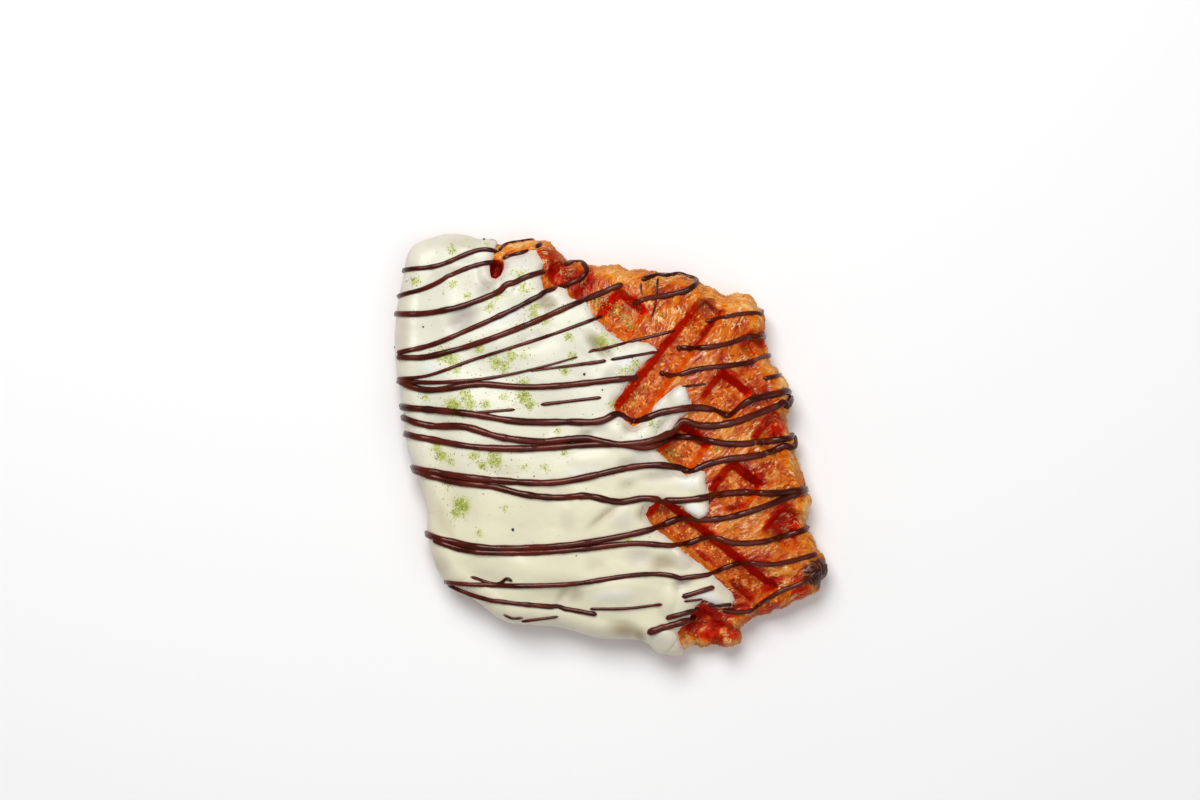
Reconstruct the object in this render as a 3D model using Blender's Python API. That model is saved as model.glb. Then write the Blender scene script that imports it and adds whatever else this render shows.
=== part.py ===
"""Croffle: a croissant pressed in a waffle iron, partly coated in thick icing and striped with drizzle.

Two nodes are made: the baked pastry with its pressed hollows, and the coat of icing that lies on it.
The drizzle is raised on whichever of the two it crosses. Lengths below are in millimetres.
"""
import math

import bpy
import numpy as np
from mathutils.geometry import delaunay_2d_cdt

MM = 0.001

# Body of the pastry
CROWN_HEIGHT = 18.6
DOME_DROP = 3.0
DOME_REACH_X = 58.0
DOME_REACH_Y = 56.0
EDGE_FALL = 2.6
EDGE_FALL_REACH = 15.0
WAVE_HEIGHT = 0.35
FLAKE_HEIGHT = 0.28

# Rounded side: how far it runs in from the widest line, above and below
SIDE_BAND = 4.0
SIDE_SPLIT = 1.6
LOWER_TUCK = 3.2
SIDE_RINGS = (4.0, 2.75, 1.6, 1.15, 0.5)
DRIP_RING = 3
DRIP_WAVE = 0.22
EDGE_STEP = 2.4
NORMAL_BLEND = 6.0
RIM_INSET = 0.3

# Ragged rim of the bare part
RIM_BUMPS = ((5.3, 0.22, 0.4), (8.9, 0.30, 1.9), (14.3, 0.28, 3.1))

# Pressed pattern: its centre, turn and pitch
GRID_CENTRE = (-4.6, -4.05)
GRID_TURN = math.radians(-38.4)
GRID_PITCH = 17.5
POCKET_HALF = 5.4
GROOVE_HALF = 4.1
WALL_RUN = 1.6
WALL_SHARE_MOST = 0.7
HOLLOW_DEPTH = 4.4
CORNER_POWER = 8.0
HOLLOW_EDGE_START = 1.0
HOLLOW_EDGE_FULL = 5.2
HOLLOW_CORNER_LEANS = (31.0, 45.0, 59.0)
MOUTH_STEP = 6.5
BARE_POCKETS = ((-2, 2), (-1, 2), (1, 2), (2, 2), (1, 1), (2, 1), (3, 1), (3, -1), (1, 3), (-1, 3))
GROOVE_ONE = (13.6, 53.0)
GROOVE_TWO = (20.2, 61.0)
SLIT = (-30.0, 46.2, 1.15, 2.7)

# Soft hollows that show through the coat
SOFT_DEPTH = 1.15
SOFT_GROOVE_SHARE = 0.75
SOFT_GROOVE_START = (0.5, 0.8)
DENTS = ((-36.5, 33.0, 7.0, 0.9), (-1.5, 25.0, 4.5, 0.8), (13.0, -2.0, 8.0, 0.7), (-14.0, -36.0, 9.0, 0.6))

# Underside
UNDER_DEPTH = 3.4
UNDER_MARGIN = 0.8
UNDER_STEP = 9.0
UNDER_REACH = 4
UNDER_GROOVE = (13.6, 61.0)
UNDER_MOUTH_STEP = 5.0

# Coat of icing
COAT_GAP = 0.3
COAT_THICKNESS = 1.35
COAT_LIP = 0.7
COAT_LIP_RUN = 2.2
COAT_INSET = 1.65
COAT_INSET_RUN = 6.0

# Drizzle
RIDGE_BASE = 0.2
RIDGE_SHARE = 0.40
STROKE_STEP = 0.5
STROKE_SLACK = 0.08
STROKE_LONGEST = 4.6
STROKE_CLEARANCE = 0.55

# Spacing of the remaining points of the two upper faces
BARE_STEP = 2.2
ICED_STEP = 4.2
SEED = 7

# Plan of the whole, clockwise from the left lobe
OUTLINE = (
    (-55.9, 46.2), (-54.0, 52.4), (-47.2, 55.9), (-38.6, 56.4), (-30.5, 53.2), (-24.0, 54.5), (-17.6, 54.3),
    (-12.4, 50.2), (-5.1, 47.8), (3.0, 47.6), (11.1, 45.9), (21.3, 44.6), (30.0, 40.5), (37.8, 39.2),
    (42.2, 33.8), (42.0, 26.5), (47.2, 16.5), (49.0, 11.6), (48.3, 6.8), (50.4, -1.4), (51.9, -8.4),
    (54.4, -16.5), (54.2, -24.6), (59.2, -34.4), (54.4, -41.4), (44.6, -45.9), (36.4, -49.8),
    (35.6, -53.6), (32.6, -55.6), (24.0, -55.4), (14.9, -57.0), (8.1, -54.0), (-1.4, -53.7),
    (-13.8, -50.5), (-29.2, -48.4), (-38.1, -42.1), (-45.2, -37.0), (-49.2, -27.5), (-50.0, -16.7),
    (-54.3, -3.2), (-56.4, 10.3), (-58.3, 30.5),
)

# Strokes of drizzle: width, then the points that each one passes
STROKES = (
    (1.3, ((-56.0, 46.1), (-47.3, 46.9), (-32.7, 51.3), (-29.9, 50.9))),
    (0.9, ((-29.9, 50.9), (-28.3, 52.7), (-21.6, 54.3))),
    (1.3, ((-19.8, 52.1), (-18.0, 53.6))),
    (1.3, ((-56.7, 39.2), (-49.7, 41.0), (-36.2, 47.1), (-30.7, 48.3))),
    (1.2, ((-28.7, 49.1), (-21.8, 51.2))),
    (1.6, ((-58.4, 34.5), (-53.7, 34.2), (-30.7, 39.5), (-23.6, 43.4), (-17.2, 45.8))),
    (1.4, ((-12.3, 47.5), (-10.1, 48.5), (-7.6, 48.6), (-6.4, 47.1), (-18.0, 39.5), (-38.6, 29.5),
           (-47.3, 26.0), (-57.0, 23.8))),
    (1.6, ((-57.1, 22.7), (-49.7, 22.6), (-41.8, 24.4), (3.5, 42.2))),
    (1.1, ((-56.7, 17.0), (-50.5, 17.4), (-36.2, 22.0), (-14.8, 28.8), (-1.8, 33.6))),
    (1.2, ((-56.7, 16.2), (-46.5, 15.9), (-35.4, 16.6), (-18.0, 20.0), (-8.5, 22.7))),
    (1.2, ((-21.2, 18.9), (-0.9, 21.6))),
    (0.8, ((0.2, 21.9), (13.3, 24.2))),
    (0.8, ((-5.7, 23.9), (17.6, 29.8))),
    (1.7, ((-56.5, 16.2), (-51.3, 14.3), (-33.9, 15.4), (-24.3, 14.7), (7.7, 17.2))),
    (1.4, ((6.1, 36.7), (8.9, 38.0), (16.8, 39.5), (21.8, 41.2), (23.5, 43.4), (20.8, 45.2), (13.7, 45.0),
           (8.4, 43.3))),
    (1.1, ((25.6, 32.3), (37.4, 34.5), (42.2, 34.7))),
    (1.5, ((18.8, 25.3), (22.4, 25.1), (31.9, 26.4), (36.6, 28.0), (42.3, 28.7))),
    (1.4, ((14.6, 18.2), (17.0, 17.8), (22.4, 19.2), (38.2, 21.6), (42.6, 23.1))),
    (1.1, ((41.0, 16.8), (46.9, 18.2))),
    (0.6, ((19.2, 14.8), (25.7, 15.5))),
    (1.9, ((-56.4, 9.4), (-35.4, 7.3), (-25.9, 5.7), (-11.7, 5.4), (-1.4, 6.0), (1.9, 7.5), (5.4, 5.6),
           (13.7, 7.9), (26.3, 8.9), (32.0, 7.0), (36.6, 10.8), (48.5, 13.3))),
    (0.8, ((-36.2, 7.8), (-25.1, 8.7))),
    (0.9, ((-18.4, 10.0), (-2.2, 11.9))),
    (1.9, ((-56.5, 6.7), (-48.1, 4.4), (-38.6, 4.1), (-29.1, 1.4), (-18.0, 0.2), (-6.9, 1.0), (3.4, -0.6),
           (16.8, 3.2), (19.4, 5.6), (23.2, 4.6), (49.5, 11.1))),
    (1.8, ((-55.7, 2.2), (-33.9, -1.4), (-24.3, -1.7), (3.4, -0.6), (10.5, -1.3), (16.8, 1.1), (32.7, -0.5),
           (50.7, 1.2))),
    (1.8, ((50.7, 0.6), (43.8, -2.4), (24.4, -6.5), (21.8, -7.8), (18.4, -6.8), (-18.0, -10.8),
           (-36.2, -9.5), (-52.9, -7.0))),
    (1.8, ((-52.7, -7.6), (-42.6, -10.4), (-30.7, -11.9), (-22.8, -13.8), (-13.3, -14.7), (-6.9, -14.2),
           (3.4, -15.8), (8.9, -14.9), (15.3, -15.5), (35.1, -13.5), (45.4, -13.6), (53.7, -12.5))),
    (1.7, ((53.4, -13.0), (25.6, -20.6), (20.0, -20.3), (12.9, -22.6), (-3.0, -26.1), (-18.0, -27.9),
           (-34.6, -27.9), (-50.1, -24.7))),
    (1.6, ((54.9, -23.1), (40.6, -26.6), (32.7, -26.8), (27.1, -25.3), (20.8, -27.1), (5.7, -26.9),
           (-6.9, -28.3), (-26.7, -29.5), (-40.2, -28.5), (-47.3, -26.1))),
    (1.3, ((55.8, -30.1), (43.8, -32.6), (35.8, -32.3), (26.3, -35.2), (19.2, -35.8), (14.5, -35.2),
           (-13.3, -38.0), (-25.1, -38.3), (-44.5, -37.7))),
    (0.9, ((-37.2, -36.0), (-28.7, -37.4), (-27.5, -36.3), (-25.9, -37.1))),
    (1.3, ((-44.5, -37.9), (-36.2, -41.2), (-27.5, -42.9), (-3.4, -46.0))),
    (0.8, ((-5.3, -44.5), (5.0, -44.3), (14.1, -43.2))),
    (0.8, ((-28.5, -46.1), (-25.8, -47.2), (-23.2, -46.9))),
    (0.8, ((-23.7, -48.1), (-13.7, -46.5))),
    (1.4, ((19.2, -41.2), (27.9, -38.5))),
    (0.7, ((19.7, -42.4), (24.8, -41.8))),
    (1.4, ((14.9, -47.0), (24.0, -44.5))),
    (1.9, ((10.1, -50.8), (23.2, -46.9))),
    (1.0, ((26.3, -43.7), (32.7, -43.4))),
    (1.3, ((30.3, -45.1), (36.6, -45.5), (46.1, -39.8), (50.9, -38.0), (56.4, -34.0))),
)


def grid_point(along, across):
    """A place in the plan, from its distances along and across the pressed pattern."""
    turn, lean = math.cos(GRID_TURN), math.sin(GRID_TURN)
    return (GRID_CENTRE[0] + along * turn - across * lean, GRID_CENTRE[1] + along * lean + across * turn)


# Edge of the coat over the top, from the notch at the upper left to the lower right
COAT_START = (-30.5, 53.2)
COAT_EDGE = (
    (-30.8, 50.8), (-31.3, 48.6), (-31.6, 45.4), (-30.8, 43.4), (-28.9, 43.6), (-28.5, 46.2), (-28.4, 48.6),
    (-25.7, 50.5), (-21.9, 51.2), (-19.7, 51.3), (-18.9, 49.7), (-17.6, 47.8), (-17.6, 45.6), (-18.1, 43.5),
    (-17.6, 41.0), (-13.8, 41.2), (-11.6, 40.4), (-10.5, 38.6), (-8.6, 37.7), (-6.5, 37.5), (-5.2, 36.0),
    grid_point(-22.9, 29.2), grid_point(-20.0, 29.2), grid_point(-17.5, 29.2), grid_point(-14.8, 29.2),
    grid_point(-12.2, 29.2), (7.8, 26.9), (10.3, 26.5), (11.6, 25.4), (12.6, 24.4),
    grid_point(-4.5, 29.0), grid_point(-4.5, 26.0), grid_point(-4.5, 23.0), grid_point(-4.5, 20.0),
    grid_point(-4.5, 17.0), grid_point(-4.3, 14.2), grid_point(-2.2, 13.2), grid_point(0.5, 13.1),
    grid_point(3.3, 13.4), grid_point(4.5, 15.6), grid_point(4.6, 18.4), grid_point(4.6, 20.9),
    (13.6, 11.2), (15.7, 12.9), (18.6, 15.1), (20.3, 14.9), (20.8, 13.5), (21.3, 11.6), (21.6, 9.5),
    (21.3, 7.9), grid_point(11.7, 22.9), grid_point(11.7, 20.0), grid_point(11.7, 17.5),
    grid_point(11.7, 14.6), grid_point(11.9, 11.9), grid_point(14.6, 11.7), grid_point(17.5, 11.7),
    grid_point(20.0, 11.7), grid_point(22.6, 11.7), (22.3, -8.0), (24.0, -7.3), (25.4, -7.6), (25.8, -8.9),
    (25.4, -10.8), (25.9, -12.8), (26.7, -14.3), (26.5, -16.5), (26.6, -18.5), (25.7, -19.6),
    grid_point(32.4, 4.7), grid_point(29.8, 4.5), grid_point(27.0, 4.5), grid_point(24.0, 3.7),
    grid_point(21.2, 2.0), grid_point(20.0, -1.0), grid_point(20.6, -3.0), grid_point(23.0, -4.2),
    grid_point(26.0, -4.5), grid_point(29.0, -4.5), grid_point(32.0, -4.5), grid_point(35.0, -4.5),
    grid_point(38.0, -4.5), grid_point(41.0, -4.5), grid_point(44.0, -4.5), grid_point(46.8, -4.7),
    (31.3, -38.9), (32.7, -40.2), (33.3, -42.2), (32.6, -43.9), (30.2, -44.4), (27.7, -43.4),
    grid_point(46.7, -11.6), grid_point(46.7, -14.5), grid_point(46.7, -17.5), grid_point(46.7, -20.3),
    grid_point(46.9, -22.7), (18.6, -52.9), (19.1, -54.4),
)
COAT_END = (18.9, -56.2)


def smoothstep(value, low, high):
    share = np.clip((value - low) / (high - low), 0.0, 1.0)
    return share * share * (3.0 - 2.0 * share)


def smooth_path(points, step, closed=False):
    """A smooth curve through the points, cut into steps of about one length."""
    points = np.array(points, float)
    count = len(points)
    first, spans = 0, count - 1
    if closed:
        points = np.vstack([points[-2:], points, points[:3]])
        first, spans = 2, count
    hop = np.diff(points, axis=0)
    chord = np.hypot(hop[:, 0], hop[:, 1])[:, None]
    slope = hop / chord
    inner = (slope[:-1] * chord[1:] + slope[1:] * chord[:-1]) / (chord[:-1] + chord[1:])
    heading = np.vstack([slope[:1], inner, slope[-1:]])
    share = np.linspace(0.0, 1.0, 24, endpoint=False)[:, None]
    fine = []
    for i in range(first, first + spans):
        a, b = points[i], points[i + 1]
        p, q = heading[i] * chord[i], heading[i + 1] * chord[i]
        cubic = 2 * a - 2 * b + p + q
        square = 3 * b - 3 * a - 2 * p - q
        fine.append(((cubic * share + square) * share + p) * share + a)
    fine.append(points[first + spans][None, :])
    fine = np.vstack(fine)
    run = np.concatenate([[0.0], np.cumsum(np.hypot(*np.diff(fine, axis=0).T))])
    pieces = max(int(round(run[-1] / step)), 1)
    at = np.linspace(0.0, run[-1], pieces + 1)
    if closed:
        at = at[:-1]
    return np.column_stack([np.interp(at, run, fine[:, 0]), np.interp(at, run, fine[:, 1])])


def path_run(points):
    """Distance travelled at each point of a path."""
    return np.concatenate([[0.0], np.cumsum(np.hypot(*np.diff(points, axis=0).T))])


def inward_normals(loop, blend=0.0):
    """Unit normals of a clockwise loop, pointing in, blended over a length of it."""
    ahead = np.roll(loop, -1, axis=0) - np.roll(loop, 1, axis=0)
    step = np.mean(np.hypot(ahead[:, 0], ahead[:, 1])) / 2
    reach = int(round(blend / step))
    near = sum(np.roll(ahead, k, axis=0) * (reach + 1 - abs(k)) for k in range(-reach, reach + 1))
    near /= np.hypot(near[:, 0], near[:, 1])[:, None]
    return np.column_stack([near[:, 1], -near[:, 0]])


def inside(points, loop):
    """Which points lie inside a closed loop."""
    x, y = points[:, 0][:, None], points[:, 1][:, None]
    ax, ay = loop[:, 0][None, :], loop[:, 1][None, :]
    bx, by = np.roll(loop[:, 0], -1)[None, :], np.roll(loop[:, 1], -1)[None, :]
    rises = (ay > y) != (by > y)
    height = np.where(by == ay, 1e-9, by - ay)
    return (np.sum(rises & (x < (bx - ax) * (y - ay) / height + ax), axis=1) % 2) == 1


def nearest(points, path, closed=False):
    """Distance from each point to a path, with the foot, the span it lies on and the share along it."""
    ends = np.roll(path, -1, axis=0) if closed else path[1:]
    starts = path if closed else path[:-1]
    span = ends - starts
    length = np.maximum(np.sum(span * span, axis=1), 1e-12)
    gap = points[:, None, :] - starts[None, :, :]
    share = np.clip(np.sum(gap * span[None], axis=2) / length[None], 0.0, 1.0)
    foot = starts[None] + share[..., None] * span[None]
    off = np.hypot(points[:, None, 0] - foot[..., 0], points[:, None, 1] - foot[..., 1])
    best = np.argmin(off, axis=1)
    rows = np.arange(len(points))
    return off[rows, best], foot[rows, best], best, share[rows, best]


class Rim:
    """The widest line of the pastry, and the way the rounded side hangs from it."""

    def __init__(self, step):
        whole = smooth_path(OUTLINE, step, closed=True)
        run = np.concatenate([path_run(whole), [0.0]])[:len(whole)]
        total = run[-1] + math.dist(whole[-1], whole[0])
        start = run[np.argmin(np.hypot(*(whole - COAT_START).T))]
        stop = run[np.argmin(np.hypot(*(whole - COAT_END).T))]
        into = np.where(run >= stop, run - stop, run + total - stop)
        reach = start + total - stop
        self.iced = np.clip(np.minimum(into, reach - into), -1.0, None)
        self.iced[into > reach] = -1.0
        share = smoothstep(self.iced, 0.0, COAT_INSET_RUN)
        bumps = sum(size * np.sin(2 * math.pi * run / wave + phase) for wave, size, phase in RIM_BUMPS)
        inset = share * COAT_INSET + (1.0 - share) * (bumps + RIM_INSET)
        self.run = run
        self.loop = whole + inward_normals(whole) * inset[:, None]
        self.normal = inward_normals(self.loop, NORMAL_BLEND)

    def ring(self, depth):
        """The loop that lies one depth in from the widest line."""
        return self.loop + self.normal * np.reshape(depth, (-1, 1))


FINE_RIM = Rim(1.0)


def rim_measure(plan):
    """Depth inside the widest line, its foot there, and the way in."""
    depth, foot, span, share = nearest(plan, FINE_RIM.loop, closed=True)
    after = (span + 1) % len(FINE_RIM.loop)
    normal = FINE_RIM.normal[span] * (1 - share[:, None]) + FINE_RIM.normal[after] * share[:, None]
    normal /= np.hypot(normal[:, 0], normal[:, 1])[:, None]
    within = inside(plan, FINE_RIM.loop)
    depth = np.where(within, depth, -depth)
    away = depth > 0.6
    direct = (plan - foot) / np.maximum(np.abs(depth), 1e-9)[:, None]
    return depth, foot, np.where(away[:, None], direct, normal)


def unroll(plan):
    """Moves places seen from above near the rim to where the unrolled side holds them."""
    depth, foot, way = rim_measure(plan)
    turn = np.arcsin(np.clip(1.0 - np.maximum(depth, 0.0) / SIDE_BAND, 0.0, 1.0)) / (math.pi / 2)
    rolled = SIDE_BAND - (SIDE_BAND - SIDE_SPLIT) * turn
    return np.where((depth >= SIDE_BAND)[:, None], plan, foot + way * rolled[:, None])


def make_hollows():
    """Every bare hollow of the upper face: centre, half sizes and turn."""
    hollows = []
    for i, j in BARE_POCKETS:
        half = POCKET_HALF + 0.22 * math.sin(2.1 * i + 3.7 * j)
        hollows.append((grid_point(i * GRID_PITCH, j * GRID_PITCH), half, half, GRID_TURN))
    low, high = GROOVE_ONE
    hollows.append((grid_point(0.0, (low + high) / 2), GROOVE_HALF, (high - low) / 2, GRID_TURN))
    low, high = GROOVE_TWO
    hollows.append((grid_point((low + high) / 2, 0.0), (high - low) / 2, GROOVE_HALF, GRID_TURN))
    hollows.append(((SLIT[0], SLIT[1]), SLIT[2], SLIT[3], 0.0))
    return hollows


HOLLOWS = make_hollows()


def hollow_measure(plan, hollow):
    """Distance out from the middle of a hollow, counted so that its mouth is a rounded oblong."""
    centre, half_a, half_b, turn = hollow
    x, y = plan[:, 0] - centre[0], plan[:, 1] - centre[1]
    a = np.abs(x * math.cos(turn) + y * math.sin(turn))
    b = np.abs(y * math.cos(turn) - x * math.sin(turn))
    half = min(half_a, half_b)
    a = np.maximum(a - (half_a - half), 0.0)
    b = np.maximum(b - (half_b - half), 0.0)
    return (a ** CORNER_POWER + b ** CORNER_POWER) ** (1.0 / CORNER_POWER), half


def hollow_depth(plan, depth_in):
    deepest = np.zeros(len(plan))
    for hollow in HOLLOWS:
        out, half = hollow_measure(plan, hollow)
        wall = min(WALL_RUN, half * WALL_SHARE_MOST)
        deepest = np.maximum(deepest, np.clip((half - out) / wall, 0.0, 1.0))
    return HOLLOW_DEPTH * deepest * smoothstep(depth_in, HOLLOW_EDGE_START, HOLLOW_EDGE_FULL)


def hollow_loop(hollow, shrink, step):
    """Points round a hollow, at its mouth or, shrunk, at its floor."""
    centre, half_a, half_b, turn = hollow
    half = min(half_a, half_b)
    size = half - shrink
    corners = []
    for quarter in range(4):
        for lean in HOLLOW_CORNER_LEANS:
            angle = math.radians(90 * quarter + lean)
            c, s = math.cos(angle), math.sin(angle)
            reach = size / (abs(c) ** CORNER_POWER + abs(s) ** CORNER_POWER) ** (1 / CORNER_POWER)
            a = reach * c + math.copysign(half_a - half, c)
            b = reach * s + math.copysign(half_b - half, s)
            corners.append((centre[0] + a * math.cos(turn) - b * math.sin(turn),
                            centre[1] + a * math.sin(turn) + b * math.cos(turn)))
    return split_long(np.array(corners), step, closed=True)


def split_long(path, longest, closed=False):
    """The same path with its long spans cut up evenly."""
    ends = np.roll(path, -1, axis=0) if closed else path[1:]
    out = []
    for a, b in zip(path, ends):
        pieces = max(int(math.ceil(math.dist(a, b) / longest)), 1)
        for k in range(pieces):
            out.append(a + (b - a) * k / pieces)
    if not closed:
        out.append(path[-1])
    return np.array(out)


def soft_hollows(plan):
    """Shallow hollows of the pressed pattern under the coat."""
    x, y = plan[:, 0] - GRID_CENTRE[0], plan[:, 1] - GRID_CENTRE[1]
    a = (x * math.cos(GRID_TURN) + y * math.sin(GRID_TURN)) / GRID_PITCH
    b = (y * math.cos(GRID_TURN) - x * math.sin(GRID_TURN)) / GRID_PITCH
    row = np.cos(math.pi * a) ** 2
    column = np.cos(math.pi * b) ** 2
    pocket = np.where((np.abs(a) > 0.5) & (np.abs(b) > 0.5), row * column, 0.0)
    groove_a = np.where(np.abs(a) < 0.5, row, 0.0) * smoothstep(np.abs(b), *SOFT_GROOVE_START)
    groove_b = np.where(np.abs(b) < 0.5, column, 0.0) * smoothstep(np.abs(a), *SOFT_GROOVE_START)
    uneven = 0.75 + 0.35 * np.sin(0.11 * plan[:, 0] + 1.3) * np.sin(0.09 * plan[:, 1] + 0.5)
    depth = SOFT_DEPTH * uneven * (pocket + SOFT_GROOVE_SHARE * (groove_a + groove_b))
    for cx, cy, reach, deep in DENTS:
        away = np.hypot(plan[:, 0] - cx, plan[:, 1] - cy)
        depth += deep * (1.0 - smoothstep(away, 0.0, reach))
    return depth


def make_coat_loop():
    """The whole edge of the coat, in the unrolled plan: over the top, then back round the side."""
    over = unroll(np.array(COAT_EDGE))
    rim = Rim(EDGE_STEP)
    drip = rim.ring(ring_depths(rim)[DRIP_RING])
    count = len(drip)
    first = int(np.argmin(np.hypot(*(drip - COAT_END).T)))
    last = int(np.argmin(np.hypot(*(drip - COAT_START).T)))
    back = [(first + k) % count for k in range((last - first) % count + 1)]
    return np.vstack([over, drip[back]])


def ring_depths(rim):
    """How deep each side ring lies; the one that carries the drip edge of the coat is wavy."""
    depths = [np.full(len(rim.loop), depth) for depth in SIDE_RINGS]
    wave = np.sin(0.33 * rim.run) + 0.7 * np.sin(0.57 * rim.run + 1.0) + 0.4 * np.sin(1.03 * rim.run)
    depths[DRIP_RING] = depths[DRIP_RING] + DRIP_WAVE * 0.5 * wave * (rim.iced > 0)
    return depths


COAT_LOOP = make_coat_loop()


def iced_share(plan, run=3.0):
    """One well inside the coat, nought outside it."""
    off = nearest(plan, COAT_LOOP, closed=True)[0]
    return np.where(inside(plan, COAT_LOOP), smoothstep(off, 0.0, run), 0.0)


def crown(plan, depth_in, bare):
    """Height of the upper face; bare adds the crisp hollows and the flaky relief."""
    x, y = plan[:, 0], plan[:, 1]
    height = CROWN_HEIGHT - DOME_DROP * ((x / DOME_REACH_X) ** 2 + (y / DOME_REACH_Y) ** 2)
    height -= EDGE_FALL * (1.0 - smoothstep(depth_in, SIDE_BAND, EDGE_FALL_REACH))
    height += WAVE_HEIGHT * np.sin(0.16 * x + 0.4) * np.sin(0.13 * y + 1.1)
    height -= soft_hollows(plan) * iced_share(plan, 5.0)
    if bare:
        flakes = np.sin(0.9 * x + 0.5 * y + 2.0 * np.sin(0.35 * y)) * np.sin(0.8 * y - 0.6 * x)
        height += FLAKE_HEIGHT * flakes * (1.0 - iced_share(plan, 0.3))
        height -= hollow_depth(plan, depth_in)
    return height


def surface(plan, bare=True):
    """Places on the pastry in space, from places in its unrolled plan."""
    depth, foot, way = rim_measure(plan)
    depth = np.maximum(depth, 0.0)
    shoulder = foot + way * SIDE_BAND
    on_top = depth >= SIDE_BAND
    at = np.where(on_top[:, None], plan, shoulder)
    height = crown(at, np.maximum(depth, SIDE_BAND), bare)
    upper = np.clip((SIDE_BAND - depth) / (SIDE_BAND - SIDE_SPLIT), 0.0, 1.0) * math.pi / 2
    lower = np.clip((SIDE_SPLIT - depth) / SIDE_SPLIT, 0.0, 1.0) * math.pi / 2
    above = depth >= SIDE_SPLIT
    inset = np.where(above, SIDE_BAND * (1 - np.sin(upper)), LOWER_TUCK * (1 - np.cos(lower)))
    share = np.where(above, 0.5 + 0.5 * np.cos(upper), 0.5 - 0.5 * np.sin(lower))
    place = np.where(on_top[:, None], plan, foot + way * inset[:, None])
    return np.column_stack([place, height * np.where(on_top, 1.0, share)])


def surface_normals(plan):
    """Outward unit normals of the soft surface that carries the coat."""
    step = 0.35
    east = surface(plan + (step, 0.0), bare=False) - surface(plan - (step, 0.0), bare=False)
    north = surface(plan + (0.0, step), bare=False) - surface(plan - (0.0, step), bare=False)
    normal = np.cross(east, north)
    return normal / np.linalg.norm(normal, axis=1)[:, None]


def coat_thickness(plan):
    off = nearest(plan, COAT_LOOP, closed=True)[0]
    return COAT_LIP + (COAT_THICKNESS - COAT_LIP) * smoothstep(off, 0.0, COAT_LIP_RUN)


def make_strokes():
    """Every stroke as a fine path in the unrolled plan, with its half width."""
    strokes = []
    for width, points in STROKES:
        path = unroll(smooth_path(points, STROKE_STEP))
        keep = np.concatenate([[True], np.hypot(*np.diff(path, axis=0).T) > 0.05])
        strokes.append((max(width, 0.8) / 2, path[keep]))
    return strokes


STROKE_PATHS = make_strokes()


def ridge_height(plan):
    """Height of the drizzle above whatever it lies on."""
    height = np.zeros(len(plan))
    for half, path in STROKE_PATHS:
        off = nearest(plan, path)[0]
        bulge = (RIDGE_BASE + RIDGE_SHARE * 2 * half) * (1.0 - np.clip(off / half, 0.0, 1.0) ** 2)
        height = np.maximum(height, bulge)
    return height


def simplify(path, slack):
    """The few points of a path that keep it within the slack."""
    keep = [0, len(path) - 1]
    todo = [(0, len(path) - 1)]
    while todo:
        a, b = todo.pop()
        if b - a < 2:
            continue
        off = nearest(path[a + 1:b], path[[a, b]])[0]
        worst = int(np.argmax(off))
        if off[worst] > slack:
            middle = a + 1 + worst
            keep.append(middle)
            todo += [(a, middle), (middle, b)]
    return path[sorted(keep)]


def runs_where(path, mask):
    """The unbroken pieces of a path over which the mask holds."""
    pieces, current = [], []
    for point, ok in zip(path, mask):
        if ok:
            current.append(point)
        elif current:
            pieces.append(np.array(current))
            current = []
    if current:
        pieces.append(np.array(current))
    return [piece for piece in pieces if len(piece) > 2]


def stroke_lines(over_coat):
    """Crest and foot lines of the drizzle on one of the two nodes."""
    lines = []
    for number, (half, path) in enumerate(STROKE_PATHS):
        ahead = np.gradient(path, axis=0)
        ahead /= np.maximum(np.hypot(ahead[:, 0], ahead[:, 1]), 1e-9)[:, None]
        sideways = np.column_stack([-ahead[:, 1], ahead[:, 0]])
        for side in (0, 1, -1):
            line = path + sideways * (side * half)
            coated = inside(line, COAT_LOOP)
            clear = nearest(line, COAT_LOOP, closed=True)[0] > STROKE_CLEARANCE
            depth = rim_measure(line)[0]
            mask = (coated == over_coat) & clear & (depth > SIDE_SPLIT + 0.05)
            if side:
                for other, (wide, middle) in enumerate(STROKE_PATHS):
                    if other != number:
                        mask &= nearest(line, middle)[0] > wide * 0.8
            for piece in runs_where(line, mask):
                lines.append(split_long(simplify(piece, STROKE_SLACK), STROKE_LONGEST))
    return lines


def hex_points(step, rng):
    """Evenly scattered points over the whole plan, a little disturbed."""
    points = []
    rise = step * math.sqrt(3) / 2
    for row, y in enumerate(np.arange(-60.0, 60.0, rise)):
        for x in np.arange(-62.0 + (row % 2) * step / 2, 62.0, step):
            points.append((x, y))
    points = np.array(points)
    return points + rng.uniform(-0.16, 0.16, points.shape) * step


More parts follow.
